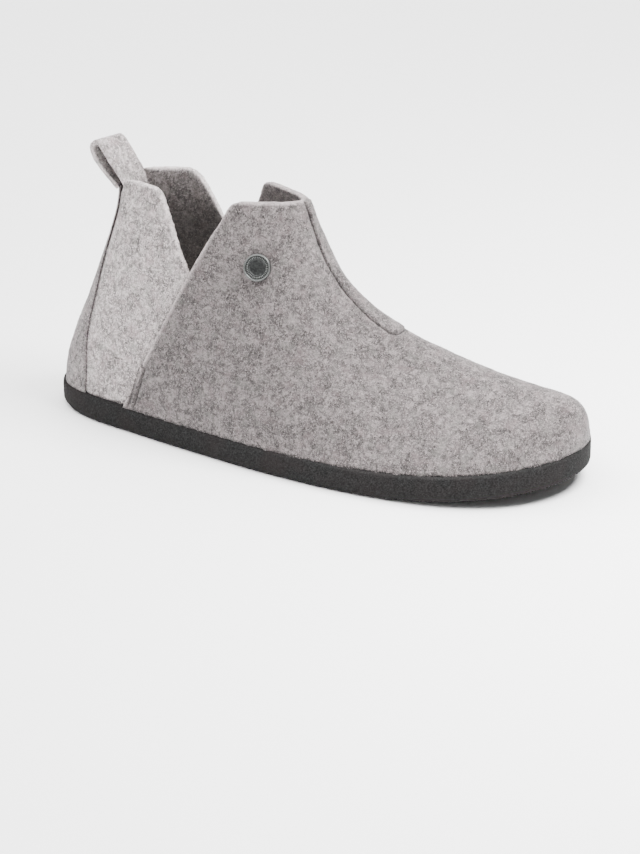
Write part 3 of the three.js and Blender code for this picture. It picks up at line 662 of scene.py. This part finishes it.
# Pale cut edges along the back edge and the collar: the felt's nap and a painted highlight.
edge_nap_and_highlight = np.maximum(band(back_edge, BACK_NAP_AND_HIGHLIGHT_WIDTH), 0.6 * band(collar_edge, EDGE_NAP_AND_HIGHLIGHT_WIDTH))
store(vamp, "rim", np.maximum(edge_nap_and_highlight, painted_inner_light))
# Painted shade along the tack stitch grooves and where the felt meets the sole.
store(vamp, "seam_shade", np.maximum(0.8 * band(tack, 0.75), 0.7 * band(over_sole(places), SOLE_SEAM_SHADE_WIDTH)))
vamp.data.materials.append(felt)
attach(vamp, "root")
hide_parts("upper")

# Heel panels: two cuts of the same felt, set paler than the vamp as painted light, joined at the back, with
# the front edge of each running down the cut-out and on under the vamp. They stand on the sole inside the
# vamp's line.
STRIP_TOP = 113.0
STRIP_TOP_DEPTH = 5.5
STRIP_FOOT_DEPTH = 24.0
STRIP_PROUD = 0.7
STRIP_TUCK = 1.5
STRIP_FLARE = {
    "columns": ("height", "wide"),
    "rows": [(0.0, 1.0), (0.2, 0.96), (0.38, 0.57), (0.53, 0.33), (0.7, 0.12), (0.83, 0.0), (1.0, 0.0)],
}
LOOP_WIDTH = 19.0
LOOP_TUCK = 0.8
PANEL_FOLDS = [
    {"line": [(52, 112), (50, 80), (40, 48)], "depth": 0.5, "width": 9},
    {"line": [(74, 92), (64, 66), (52, 44)], "depth": -0.5, "width": 7},
    {"line": [(40, 104), (36, 74), (30, 44)], "depth": -0.35, "width": 7},
]


def strip_edge(heights, grow=0.0):
    """The heel strip's front edge in side view, as (x, z) places at some heights."""
    depth = mix(STRIP_TOP_DEPTH, STRIP_FOOT_DEPTH, follow(STRIP_FLARE, "wide", heights / STRIP_TOP))
    return list(zip((heel_line_x(heights) + depth + grow).tolist(), heights.tolist()))


def strip_prism(name, grow, top):
    """The heel strip in side view: narrow at the collar, flared to the sole."""
    outline = [(-FAR, top), (-FAR, 0.0)] + strip_edge(STRIP_TOP * np.linspace(0, 1, 40), grow)
    if top > STRIP_TOP:
        outline.append((outline[-1][0], top))
    return prism(name, outline, -FAR, FAR)


panels = shell("heel_panels_felt", -VAMP_STEP, -DEEP)
ahead = prism("ahead_of_panels", [
    (vamp_edge_x(-FAR) + OVERLAP, -FAR), (3 * FAR, -FAR), (3 * FAR, FAR), (NOTCH_TOP_X, FAR),
    (NOTCH_TOP_X, COLLAR_HEIGHT), (vamp_edge_x(NOTCH_FOOT), NOTCH_FOOT),
    (vamp_edge_x(NOTCH_FOOT - OVERLAP) + OVERLAP, NOTCH_FOOT - OVERLAP)], -FAR, FAR)
lap = shell("lap", VAMP_STEP, -FELT - GAP)
cut(lap, behind)
strip_pocket = shell("strip_pocket", VAMP_STEP, -VAMP_STEP - STRIP_SUNK - GAP)
strip_outline = strip_prism("strip_outline", -STRIP_TUCK, STRIP_TOP)
cut(strip_pocket, strip_outline, "INTERSECT")
loop_seat = prism("loop_seat", [(-FAR, STRIP_TOP + GAP), (NOTCH_TOP_X, STRIP_TOP + GAP), (NOTCH_TOP_X, FAR),
                                (-FAR, FAR)], LOOP_TUCK - LOOP_WIDTH / 2, LOOP_WIDTH / 2 - LOOP_TUCK)
for tool in (ahead, collar_tool, foot_tool, lap, strip_pocket, loop_seat):
    cut(panels, tool)
settle(panels, 0.9, 4)
places, outward = points_of(panels)
push = folded(relief(places, (0.16, 9), (0.1, 2.2), 5), places, PANEL_FOLDS)
HEEL_SEAM = strip_edge(np.linspace(0, STRIP_TOP, 30))
seam_distance = to_line(places, HEEL_SEAM)
push = push - 0.3 * band(seam_distance, 1.3)
move_points(panels, places + outward * push[:, None])
edge = np.minimum(to_line(places, [(NOTCH_TOP_X, COLLAR_HEIGHT), (vamp_edge_x(NOTCH_FOOT), NOTCH_FOOT)]),
                  to_line(places, [(20, COLLAR_HEIGHT), (NOTCH_TOP_X, COLLAR_HEIGHT)]))
# Pale cut edges of the cut-out and the collar: the felt's nap and a painted highlight.
store(panels, "rim", 0.3 * band(edge, EDGE_NAP_AND_HIGHLIGHT_WIDTH))
# Painted shade along the back seam and where the felt meets the sole.
store(panels, "seam_shade", np.maximum(0.35 * band(seam_distance, 0.8),
                                 0.6 * band(over_sole(places), SOLE_SEAM_SHADE_WIDTH)))
# Painted shade on the panels' inner face, darker the deeper it lies.
store(panels, "inner_shade", inner_depth_share(places, outward))
panels.data.materials.append(panel_felt)
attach(panels, "root")
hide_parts("upper")

# Heel strip: a shaped strip of felt sewn over the back seam, its edges rolled in by the stitches. Its
# tone lies between the vamp's and the panels', and its top laps up behind the pull loop.
STRIP_TONE = (0.185, 0.164, 0.162, 1)
STRIP_LAP = 2.0
heel_strip = shell("heel_strip_felt", STRIP_PROUD - VAMP_STEP, GAP - VAMP_STEP - STRIP_SUNK)
strip_tool = strip_prism("strip_tool", 0, STRIP_TOP + STRIP_LAP)
cut(heel_strip, strip_tool, "INTERSECT")
cut(heel_strip, foot_tool)
settle(heel_strip, 0.55, 5)
places, outward = points_of(heel_strip)
seam_distance = to_line(places, HEEL_SEAM)
push = relief(places, (0.14, 8), (0.08, 2), 8) - 0.45 * band(seam_distance, 1.2)
move_points(heel_strip, places + outward * push[:, None])
# Painted shade along the back seam and where the strip meets the sole.
store(heel_strip, "seam_shade", np.maximum(0.5 * band(seam_distance, 0.7),
                                     0.6 * band(over_sole(places), SOLE_SEAM_SHADE_WIDTH)))
heel_strip.data.materials.append(felt_finish("strip_felt", STRIP_TONE, 7))
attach(heel_strip, "root")
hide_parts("heel_strip")

# Pull loop: a band of thinner felt from the heel strip's top, up and over, and down inside the heel,
# where it is sewn in. Low down it bends round the heel, and higher up it twists a little.
LOOP_BAND = 2.3
LOOP_HEIGHT = 22.0
LOOP_REACH = 10.5
LOOP_TWIST = 2.6
LOOP_DROP = 1.8
LOOP_CURVE = 3.6
LOOP_EASE = 0.6
LOOP_STEPS = 110
LOOP_ACROSS = 28
LOOP_LINE = {
    "columns": ("place", "back", "up"),
    "rows": [(0, 0.06, 0.06), (1, 0.5, 0.34), (2, 0.8, 0.58), (3, 1.0, 0.82), (4, 0.93, 0.95), (5, 0.68, 1.0),
             (6, 0.4, 0.86), (7, 0.02, 0.59), (8, -0.26, 0.31), (9, -0.52, -0.1), (10, -0.46, -0.33),
             (11, -0.3, -0.58)],
}
strip_top_x = VAMP_STEP - STRIP_PROUD + float(heel_line_x(STRIP_TOP))
along_band = np.linspace(0, len(LOOP_LINE["rows"]) - 1, LOOP_STEPS + 1)
band_x = strip_top_x + LOOP_BAND / 2 - LOOP_REACH * follow(LOOP_LINE, "back", along_band)
band_z = STRIP_TOP + GAP + LOOP_HEIGHT * follow(LOOP_LINE, "up", along_band)
run_x, run_z = np.gradient(band_x), np.gradient(band_z)
pace = np.hypot(run_x, run_z)
sides = []
for offset in (LOOP_BAND / 2, -LOOP_BAND / 2):
    x = band_x - offset * run_z / pace
    z = band_z + offset * run_x / pace
    y = np.linspace(-LOOP_WIDTH / 2, LOOP_WIDTH / 2, LOOP_ACROSS + 1)
    X, Y = np.meshgrid(x, y, indexing="ij")
    Z = np.repeat(z[:, None], len(y), axis=1)
    across = 2 * Y / LOOP_WIDTH
    risen = np.clip((Z - STRIP_TOP) / (LOOP_HEIGHT * LOOP_EASE), 0, 1)
    X = X + LOOP_CURVE * across ** 2 * (1 - risen) + LOOP_TWIST / 2 * across * risen
    sides.append(np.stack([X, Y, Z - LOOP_DROP / 2 * across * risen], axis=-1))
wide = LOOP_ACROSS + 1
ids = np.arange((LOOP_STEPS + 1) * wide).reshape(LOOP_STEPS + 1, wide)
face = np.stack([ids[:-1, :-1], ids[1:, :-1], ids[1:, 1:], ids[:-1, 1:]], axis=-1).reshape(-1, 4)
other = ids.size
border = np.concatenate([ids[:-1, 0], ids[-1, :-1], ids[:0:-1, -1], ids[0, :0:-1]])
turned = np.roll(border, -1)
walls = np.stack([border, border + other, turned + other, turned], axis=-1)
pull_loop = mesh_object("pull_loop_felt", np.concatenate([s.reshape(-1, 3) for s in sides]),
                        np.concatenate([face, face[:, ::-1] + other, walls]))
close_up(pull_loop)
settle(pull_loop, 0.5, 3)
places, outward = points_of(pull_loop)
push = relief(places, (0.1, 6), (0.08, 1.8), 12)
move_points(pull_loop, places + outward * push[:, None])
# Pale side edges of the loop: the felt's nap and a painted highlight.
store(pull_loop, "rim", 0.2 * band(LOOP_WIDTH / 2 - np.abs(places[:, 1]), 0.8))
# Painted shade where the loop's foot meets the heel strip's top.
store(pull_loop, "seam_shade", 0.7 * band(places[:, 2] - STRIP_TOP, 1.2))
pull_loop.data.materials.append(panel_felt)
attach(pull_loop, "root")
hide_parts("pull_loop")

# Instep strip: a narrow strip of the vamp's felt, let into the vamp from the collar's front down to a
# rounded end on the instep, a little proud of the felt around it.
instep_strip = shell("instep_strip_felt", STRIP_PROUD, GAP - STRIP_SUNK)
tongue_tool = tongue_prism("tongue_tool", -GAP / 2)
cut(instep_strip, tongue_tool, "INTERSECT")
cut(instep_strip, collar_tool)
settle(instep_strip, 0.45, 5)
places, outward = points_of(instep_strip)
push = relief(places, (0.12, 7), (0.08, 1.8), 15)
move_points(instep_strip, places + outward * push[:, None])
instep_strip.data.materials.append(felt)
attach(instep_strip, "root")
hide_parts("instep_strip")
for tool in (behind, collar_tool, foot_tool, tongue_pocket, tongue_outline, ahead, lap, strip_pocket,
             strip_outline, loop_seat, strip_tool, tongue_tool):
    bpy.data.objects.remove(tool)

# Felt fuzz: single wool fibres standing off the matted surface, spread evenly over each felt piece.
# They are kept short and thin, so that only the outlines and the cut edges look hairy.
FIBRE_WIDTH = 0.07
FIBRE_LEAN = 2.2


def fibres(name, piece, count, length, finish, seed, lean=FIBRE_LEAN, width=FIBRE_WIDTH, keep=None):
    """Short bent fibres on a piece, each a strip of three triangles, joined as one mesh."""
    random = np.random.default_rng(seed)
    mesh = piece.data
    mesh.calc_loop_triangles()
    corners = np.empty(3 * len(mesh.loop_triangles), int)
    mesh.loop_triangles.foreach_get("vertices", corners)
    corners = corners.reshape(-1, 3)
    spots, normals = points_of(piece)
    a, b, c = spots[corners[:, 0]], spots[corners[:, 1]], spots[corners[:, 2]]
    area = np.linalg.norm(np.cross(b - a, c - a), axis=1)
    if keep is not None:
        area = area * keep((a + b + c) / 3, normals[corners[:, 0]])
    chosen = random.choice(len(area), count, p=area / area.sum())
    u, v = random.random((2, count, 1))
    over = u + v > 1
    u, v = np.where(over, 1 - u, u), np.where(over, 1 - v, v)
    root = a[chosen] + u * (b - a)[chosen] + v * (c - a)[chosen]
    normal = normals[corners[chosen, 0]]
    loose = random.normal(size=(count, 3))
    loose -= (loose * normal).sum(1, keepdims=True) * normal
    loose /= np.linalg.norm(loose, axis=1, keepdims=True)
    side = np.cross(normal, loose) * width / 2
    reach = length * random.uniform(0.5, 1.3, (count, 1))
    first = root + reach * (0.25 * lean / FIBRE_LEAN * loose + 0.28 * normal)
    second = first + reach * (0.25 * lean * loose + 0.12 * normal + 0.25 * random.normal(size=(count, 3)))
    base = root - 0.1 * normal
    points = np.stack([base - side, base + side, first - 0.8 * side, first + 0.8 * side, second], axis=1)
    number = 5 * np.arange(count)[:, None]
    triangles = np.stack([number + [0, 1, 3], number + [0, 3, 2], number + [2, 3, 4]], axis=1)
    hair = mesh_object(name, points.reshape(-1, 3), triangles.reshape(-1, 3))
    hair.data.materials.append(finish)
    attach(hair, "root")
    return hair


def texture(tree, kind, settings, placed=True):
    """A texture's value, laid in the piece's own space or, where not placed, left to its default."""
    node = tree.nodes.new(kind)
    for name, value in settings.items():
        node.inputs[name].default_value = value
    if placed:
        tree.links.new(tree.nodes.new("ShaderNodeTexCoord").outputs["Object"], node.inputs["Vector"])
    return node.outputs["Distance" if kind == "ShaderNodeTexVoronoi" else "Fac"]


def ramp(tree, value, low, high):
    """A run between two colours along a value, each given with its place on it."""
    node = tree.nodes.new("ShaderNodeValToRGB")
    for element, (position, colour) in zip(node.color_ramp.elements, (low, high)):
        element.position = position
        element.color = colour
    tree.links.new(value, node.inputs["Fac"])
    return node.outputs["Color"]


fuzz_finish, tree, principled = shader("loose_wool", (0.3, 0.27, 0.265, 1), 0.9)
principled.inputs["Sheen Weight"].default_value = 0.1
tint = texture(tree, "ShaderNodeTexNoise", {"Scale": 900}, placed=False)
tree.links.new(ramp(tree, tint, (0.4, (0.05, 0.044, 0.043, 1)), (0.55, (0.34, 0.31, 0.305, 1))),
               principled.inputs["Base Color"])
for name, piece, count, length, seed in (
        ("vamp_fuzz", vamp, 30000, 1.1, 31), ("panel_fuzz", panels, 16000, 1.0, 32),
        ("strip_fuzz", heel_strip, 4000, 0.9, 33), ("loop_fuzz", pull_loop, 4000, 0.9, 34),
        ("instep_fuzz", instep_strip, 2500, 0.9, 35)):
    fibres(name, piece, count, length, fuzz_finish, seed)

# Tack seam: two short rows of dark thread that fasten the vamp's back edge to the panel by the sole,
# on each side of the slipper.
STITCH_LENGTH = 2.5
STITCH_PITCH = 2.9
STITCH_START = 0.4
STITCH_SUNK = 0.12
STITCH_RINGS = 7
THREAD = 0.62
THREAD_SIDES = 8


def ring_quads(rings, count):
    """The quads between rings of as many points each, laid one after another."""
    faces = []
    for low in range(0, (rings - 1) * count, count):
        for k in range(count):
            n = (k + 1) % count
            faces.append((low + k, low + n, low + count + n, low + count + k))
    return faces


def capsule(start, end, radius):
    """A stitch: a round thread between two holes, pulled down at both ends."""
    start, end = np.array(start), np.array(end)
    axis = (end - start) / np.linalg.norm(end - start)
    across = np.cross(axis, [0, 1, 0])
    across /= np.linalg.norm(across)
    up = np.cross(across, axis)
    rings = []
    for share in np.linspace(0, 1, STITCH_RINGS):
        swell = radius * math.sqrt(max(0.08, 1 - (2 * share - 1) ** 4))
        angle = np.linspace(0, 2 * np.pi, THREAD_SIDES, endpoint=False)[:, None]
        middle = mix(start, end, share)
        rings.append(middle + swell * (np.cos(angle) * across + np.sin(angle) * up))
    points = np.concatenate(rings)
    faces = ring_quads(STITCH_RINGS, THREAD_SIDES)
    faces.append(tuple(range(THREAD_SIDES - 1, -1, -1)))
    faces.append(tuple(range(len(points) - THREAD_SIDES, len(points))))
    return points, faces


def face_y(x, z, side):
    """How far out the upper's outer face stands at a place in side view, on one side."""
    half = GRID[:, :ACROSS + 1] if side < 0 else GRID[:, ACROSS:]
    flat = half.reshape(-1, 3)
    return flat[np.argmin((flat[:, 0] - x) ** 2 + (flat[:, 2] - z) ** 2), 1]


stitch_points, stitch_faces = [], []
for side in (-1, 1):
    for row in tack_rows:
        start, end = np.array(row[0], float), np.array(row[1], float)
        length = np.linalg.norm(end - start)
        for k in range(int(length / STITCH_PITCH)):
            at = k * STITCH_PITCH + STITCH_START
            low = mix(start, end, at / length)
            high = mix(start, end, min(1, (at + STITCH_LENGTH) / length))
            ends = [(p[0], face_y(p[0], p[1], side) - side * STITCH_SUNK, p[1]) for p in (low, high)]
            points, faces = capsule(ends[0], ends[1], THREAD / 2)
            offset = sum(len(p) for p in stitch_points)
            stitch_points.append(points)
            stitch_faces += [tuple(offset + i for i in face) for face in faces]
tack_stitches = mesh_object("tack_stitches", np.concatenate(stitch_points), stitch_faces)
thread_finish, tree, principled = shader("dark_thread", (0.07, 0.06, 0.058, 1), 0.7)
twist = texture(tree, "ShaderNodeTexWave", {"Scale": 900}, placed=False)
tree.links.new(bumps(tree, twist, 0.5, 0.1), principled.inputs["Normal"])
tack_stitches.data.materials.append(thread_finish)
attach(tack_stitches, "root")

# Sheet sole: one flat cut of dark rubber with fine pale specks, its cut side a little rough, with a fine
# waved tread underneath. The felt is glued to its top.
HEEL_BEVEL = 4.2
BEVEL_LENGTH = 24.0
SOLE_EDGE = 1.2
SOLE_TOP_EDGE = 0.3
TREAD_PITCH = 5.5
TREAD_DEPTH = 0.45
TREAD_WANDER = 1.6
TREAD_RIM = 4.5
FACING_DOWN = -0.8
SOLE_STATIONS = 150


def sole_ring(inset):
    """The sole's outline from above, drawn in by an inset."""
    along = np.linspace(0, 1, SOLE_STATIONS + 1)
    x = station_x(along)
    lateral = np.stack([x, swing_at(along) - half_width(along, -1)], axis=1)
    medial = np.stack([x, swing_at(along) + half_width(along, 1)], axis=1)[-2:0:-1]
    ring = np.concatenate([lateral, medial])
    step = np.roll(ring, -1, axis=0) - np.roll(ring, 1, axis=0)
    step /= np.linalg.norm(step, axis=1, keepdims=True)
    return ring + inset * np.stack([-step[:, 1], step[:, 0]], axis=1)


layers = []
for inset, height in ((SOLE_EDGE, 0), (SOLE_EDGE * 0.29, SOLE_EDGE * 0.29), (0, SOLE_EDGE),
                      (0, SOLE_THICKNESS - SOLE_TOP_EDGE), (SOLE_TOP_EDGE, SOLE_THICKNESS)):
    ring = sole_ring(inset)
    bevel = HEEL_BEVEL * np.clip(1 - ring[:, 0] / BEVEL_LENGTH, 0, None) ** 2 * (1 - height / SOLE_THICKNESS)
    layers.append(np.column_stack([ring, height + lift_at(ring[:, 0]) + bevel]))
count = len(layers[0])
faces = ring_quads(len(layers), count)
for level, flip in ((0, True), (len(layers) - 1, False)):
    for i in range(SOLE_STATIONS):
        quad = [level * count + i, level * count + i + 1, level * count + (count - i - 1) % count,
                level * count + (count - i) % count]
        faces.append(tuple(reversed(quad)) if flip else tuple(quad))
outsole = mesh_object("sheet_sole", np.concatenate(layers), faces)
close_up(outsole)
settle(outsole, 1.15, 2)
places, outward = points_of(outsole)
push = relief(places, (0.09, 3.0), (0.05, 1.4), 21)
wave = np.sin(2 * np.pi * (places[:, 0] + TREAD_WANDER * np.sin(places[:, 1] / 4.0)) / TREAD_PITCH)
rim_room = fade((TREAD_RIM - np.abs(places[:, 2] - lift_at(places[:, 0]))) / 2)
rim_room = rim_room * (outward[:, 2] < FACING_DOWN)
push = push * (outward[:, 2] > FACING_DOWN) - TREAD_DEPTH * np.clip(wave, 0, 1) * rim_room
move_points(outsole, places + outward * push[:, None])
rubber, tree, principled = shader("speckled_rubber", (0.018, 0.0185, 0.0185, 1), 0.9)
principled.inputs["Specular IOR Level"].default_value = 0.1
specks = texture(tree, "ShaderNodeTexNoise", {"Scale": 1 / (0.7 * MM), "Detail": 3, "Roughness": 0.7})
smears = texture(tree, "ShaderNodeTexNoise", {"Scale": 1 / (14 * MM)})
smear_share = tree.nodes.new("ShaderNodeMapRange")
smear_share.inputs["From Min"].default_value = 0.4
smear_share.inputs["From Max"].default_value = 0.7
smear_share.inputs["To Max"].default_value = 0.35
smear_mix = tree.nodes.new("ShaderNodeMix")
smear_mix.data_type = "RGBA"
smear_mix.inputs["B"].default_value = (0.019, 0.014, 0.014, 1)
tree.links.new(smears, smear_share.inputs["Value"])
tree.links.new(smear_share.outputs["Result"], smear_mix.inputs["Factor"])
tree.links.new(ramp(tree, specks, (0.4, (0.006, 0.0058, 0.0058, 1)), (0.68, (0.026, 0.026, 0.026, 1))),
               smear_mix.inputs["A"])
tree.links.new(smear_mix.outputs["Result"], principled.inputs["Base Color"])
tree.links.new(bumps(tree, specks, 0.5, 0.3), principled.inputs["Normal"])
outsole.data.materials.append(rubber)
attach(outsole, "root")
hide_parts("outsole")

# Footbed: a moulded cork bed, cupped at the heel, that lies loose in the slipper. The felt and the pile
# cover hide it when it is in place.


def soften_node(name, node, voxel, rounds):
    """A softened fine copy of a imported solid, in its own place."""
    piece = bpy.data.objects.new(name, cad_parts[node].data.copy())
    piece.data.materials.clear()
    bpy.context.scene.collection.objects.link(piece)
    close_up(piece)
    return settle(piece, voxel, rounds)


cork_bed = soften_node("cork_footbed", "footbed_cork", 1.3, 4)
cork, tree, principled = shader("pressed_cork", (0.2, 0.115, 0.062, 1), 0.85)
granules = texture(tree, "ShaderNodeTexVoronoi", {"Scale": 1 / (1.9 * MM)})
tree.links.new(ramp(tree, granules, (0.0, (0.34, 0.2, 0.11, 1)), (1.0, (0.11, 0.06, 0.03, 1))),
               principled.inputs["Base Color"])
tree.links.new(bumps(tree, granules, 0.4, 0.3), principled.inputs["Normal"])
cork_bed.data.materials.append(cork)
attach(cork_bed, "root")
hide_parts("footbed_cork")

# Fleece: the footbed's cream pile cover, clumped into small curls, glued on the cork. Longer loose pile
# stands on its top side.
CURL_HEIGHT = 0.7
CURL_SINK = 0.5
fleece_bed = soften_node("fleece_footbed", "footbed_fleece", 1.2, 5)
places, outward = points_of(fleece_bed)
curls = np.clip(outward[:, 2], 0, 1) * (CURL_HEIGHT * grain(places, 5.5, 3, 41) - CURL_SINK)
move_points(fleece_bed, places + outward * curls[:, None])
fleece, tree, principled = shader("cream_fleece", (0.86, 0.8, 0.68, 1), 1.0)
principled.inputs["Sheen Weight"].default_value = 0.5
clumps = texture(tree, "ShaderNodeTexNoise", {"Scale": 1 / (3.2 * MM), "Detail": 4, "Distortion": 1.2})
tree.links.new(ramp(tree, clumps, (0.3, (0.8, 0.74, 0.62, 1)), (0.62, (0.95, 0.92, 0.84, 1))),
               principled.inputs["Base Color"])
tree.links.new(bumps(tree, clumps, 0.8, 1.0), principled.inputs["Normal"])
fleece_bed.data.materials.append(fleece)
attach(fleece_bed, "root")
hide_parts("footbed_fleece")
fibres("fleece_pile", fleece_bed, 36000, 1.9, fleece, 42, lean=1.4, width=0.22,
       keep=lambda spots, normals: np.clip(normals[:, 2], 0, 1))

# Rivet: a dark pewter cap pressed into the outer side of the vamp, with a raised rim, a plain ring of
# small marks and a slightly domed, grained middle.
RIVET_RADIUS = 6.5
RIVET_HEIGHT = 1.8
RIVET_STEPS = 96
RIVET_DOME = 0.7
RIVET_MARKS = 36
MARK_RING = 0.73
MARK_BASE = 0.6
MARK_HALF_LENGTH = 0.48
MARK_HALF_WIDTH = 0.16
MARK_RISE = (-0.1, 0.16)
WORN_RINGS = (2, 5)
RIVET_PROFILE = [
    (1.0, -0.55), (1.0, 0.42), (0.985, 0.68), (0.95, 0.86), (0.91, 0.9), (0.87, 0.84), (0.845, 0.66),
    (0.82, 0.6), (0.64, 0.6), (0.615, 0.66), (0.59, 0.74), (0.565, 0.66), (0.54, 0.58), (0.4, 0.64),
    (0.2, 0.68),
]
seat_points = np.array([v.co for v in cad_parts["rivet_cap"].data.vertices]) / MM - np.array(ZERO)
centre = seat_points.mean(axis=0)
thin_way = np.linalg.eigh(np.cov((seat_points - centre).T))[1][:, 0]
axis = thin_way * np.sign(-thin_way[1])
depths = (seat_points - centre) @ axis
foot_centre = centre + axis * depths.min()
across = np.cross(axis, [0, 0, 1])
across /= np.linalg.norm(across)
up = np.cross(across, axis)
rivet_points, rivet_faces = [], []
turn = np.linspace(0, 2 * np.pi, RIVET_STEPS, endpoint=False)[:, None]
for radius, height in RIVET_PROFILE:
    circle = RIVET_RADIUS * radius * (np.cos(turn) * across + np.sin(turn) * up)
    rivet_points.append(foot_centre + circle + axis * height * RIVET_HEIGHT)
rivet_points = np.concatenate(rivet_points + [(foot_centre + axis * RIVET_DOME * RIVET_HEIGHT)[None]])
for ring in range(len(RIVET_PROFILE) - 1):
    for k in range(RIVET_STEPS):
        n = (k + 1) % RIVET_STEPS
        rivet_faces.append((ring * RIVET_STEPS + k, (ring + 1) * RIVET_STEPS + k,
                            (ring + 1) * RIVET_STEPS + n, ring * RIVET_STEPS + n))
tip = len(rivet_points) - 1
last = (len(RIVET_PROFILE) - 1) * RIVET_STEPS
rivet_faces += [(last + k, tip, last + (k + 1) % RIVET_STEPS) for k in range(RIVET_STEPS)]
rivet_faces.append(tuple(range(RIVET_STEPS)))
mark_points, mark_faces = [], []
for k in range(RIVET_MARKS):
    angle = 2 * np.pi * k / RIVET_MARKS
    out = math.cos(angle) * across + math.sin(angle) * up
    sideways = np.cross(axis, out)
    middle = foot_centre + out * RIVET_RADIUS * MARK_RING + axis * RIVET_HEIGHT * MARK_BASE
    first = len(rivet_points) + len(mark_points)
    for lift in MARK_RISE:
        for way, turned in ((-1, -1), (1, -1), (1, 1), (-1, 1)):
            spot = middle + out * way * MARK_HALF_LENGTH + sideways * turned * MARK_HALF_WIDTH
            mark_points.append(spot + axis * lift)
    for quad in ((0, 3, 2, 1), (4, 5, 6, 7), (0, 1, 5, 4), (1, 2, 6, 5), (2, 3, 7, 6), (3, 0, 4, 7)):
        mark_faces.append(tuple(first + i for i in quad))
rivet = mesh_object("rivet", np.concatenate([rivet_points, mark_points]), rivet_faces + mark_faces)
body = bmesh.new()
body.from_mesh(rivet.data)
bmesh.ops.recalc_face_normals(body, faces=body.faces)
body.to_mesh(rivet.data)
body.free()
pewter, tree, principled = shader("dark_pewter", (0.04, 0.042, 0.042, 1), 0.48)
principled.inputs["Metallic"].default_value = 0.85
tarnish = texture(tree, "ShaderNodeTexNoise", {"Scale": 1 / (0.9 * MM), "Detail": 4})
tree.links.new(ramp(tree, tarnish, (0.35, (0.016, 0.017, 0.017, 1)), (0.65, (0.05, 0.052, 0.051, 1))),
               principled.inputs["Base Color"])
tree.links.new(bumps(tree, tarnish, 0.35, 0.15), principled.inputs["Normal"])
rivet.data.materials.append(pewter)
worn_pewter, tree, principled = shader("worn_pewter", (0.2, 0.205, 0.2, 1), 0.4)
principled.inputs["Metallic"].default_value = 0.8
wear = texture(tree, "ShaderNodeTexNoise", {"Scale": 1100}, placed=False)
tree.links.new(ramp(tree, wear, (0.4, (0.045, 0.046, 0.045, 1)), (0.62, (0.2, 0.207, 0.2, 1))),
               principled.inputs["Base Color"])
rivet.data.materials.append(worn_pewter)
worn = [i >= len(rivet_faces) or WORN_RINGS[0] <= i // RIVET_STEPS < WORN_RINGS[1]
        for i in range(len(rivet.data.polygons))]
rivet.data.polygons.foreach_set("material_index", [int(w) for w in worn])
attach(rivet, "root")
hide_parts("rivet_cap")
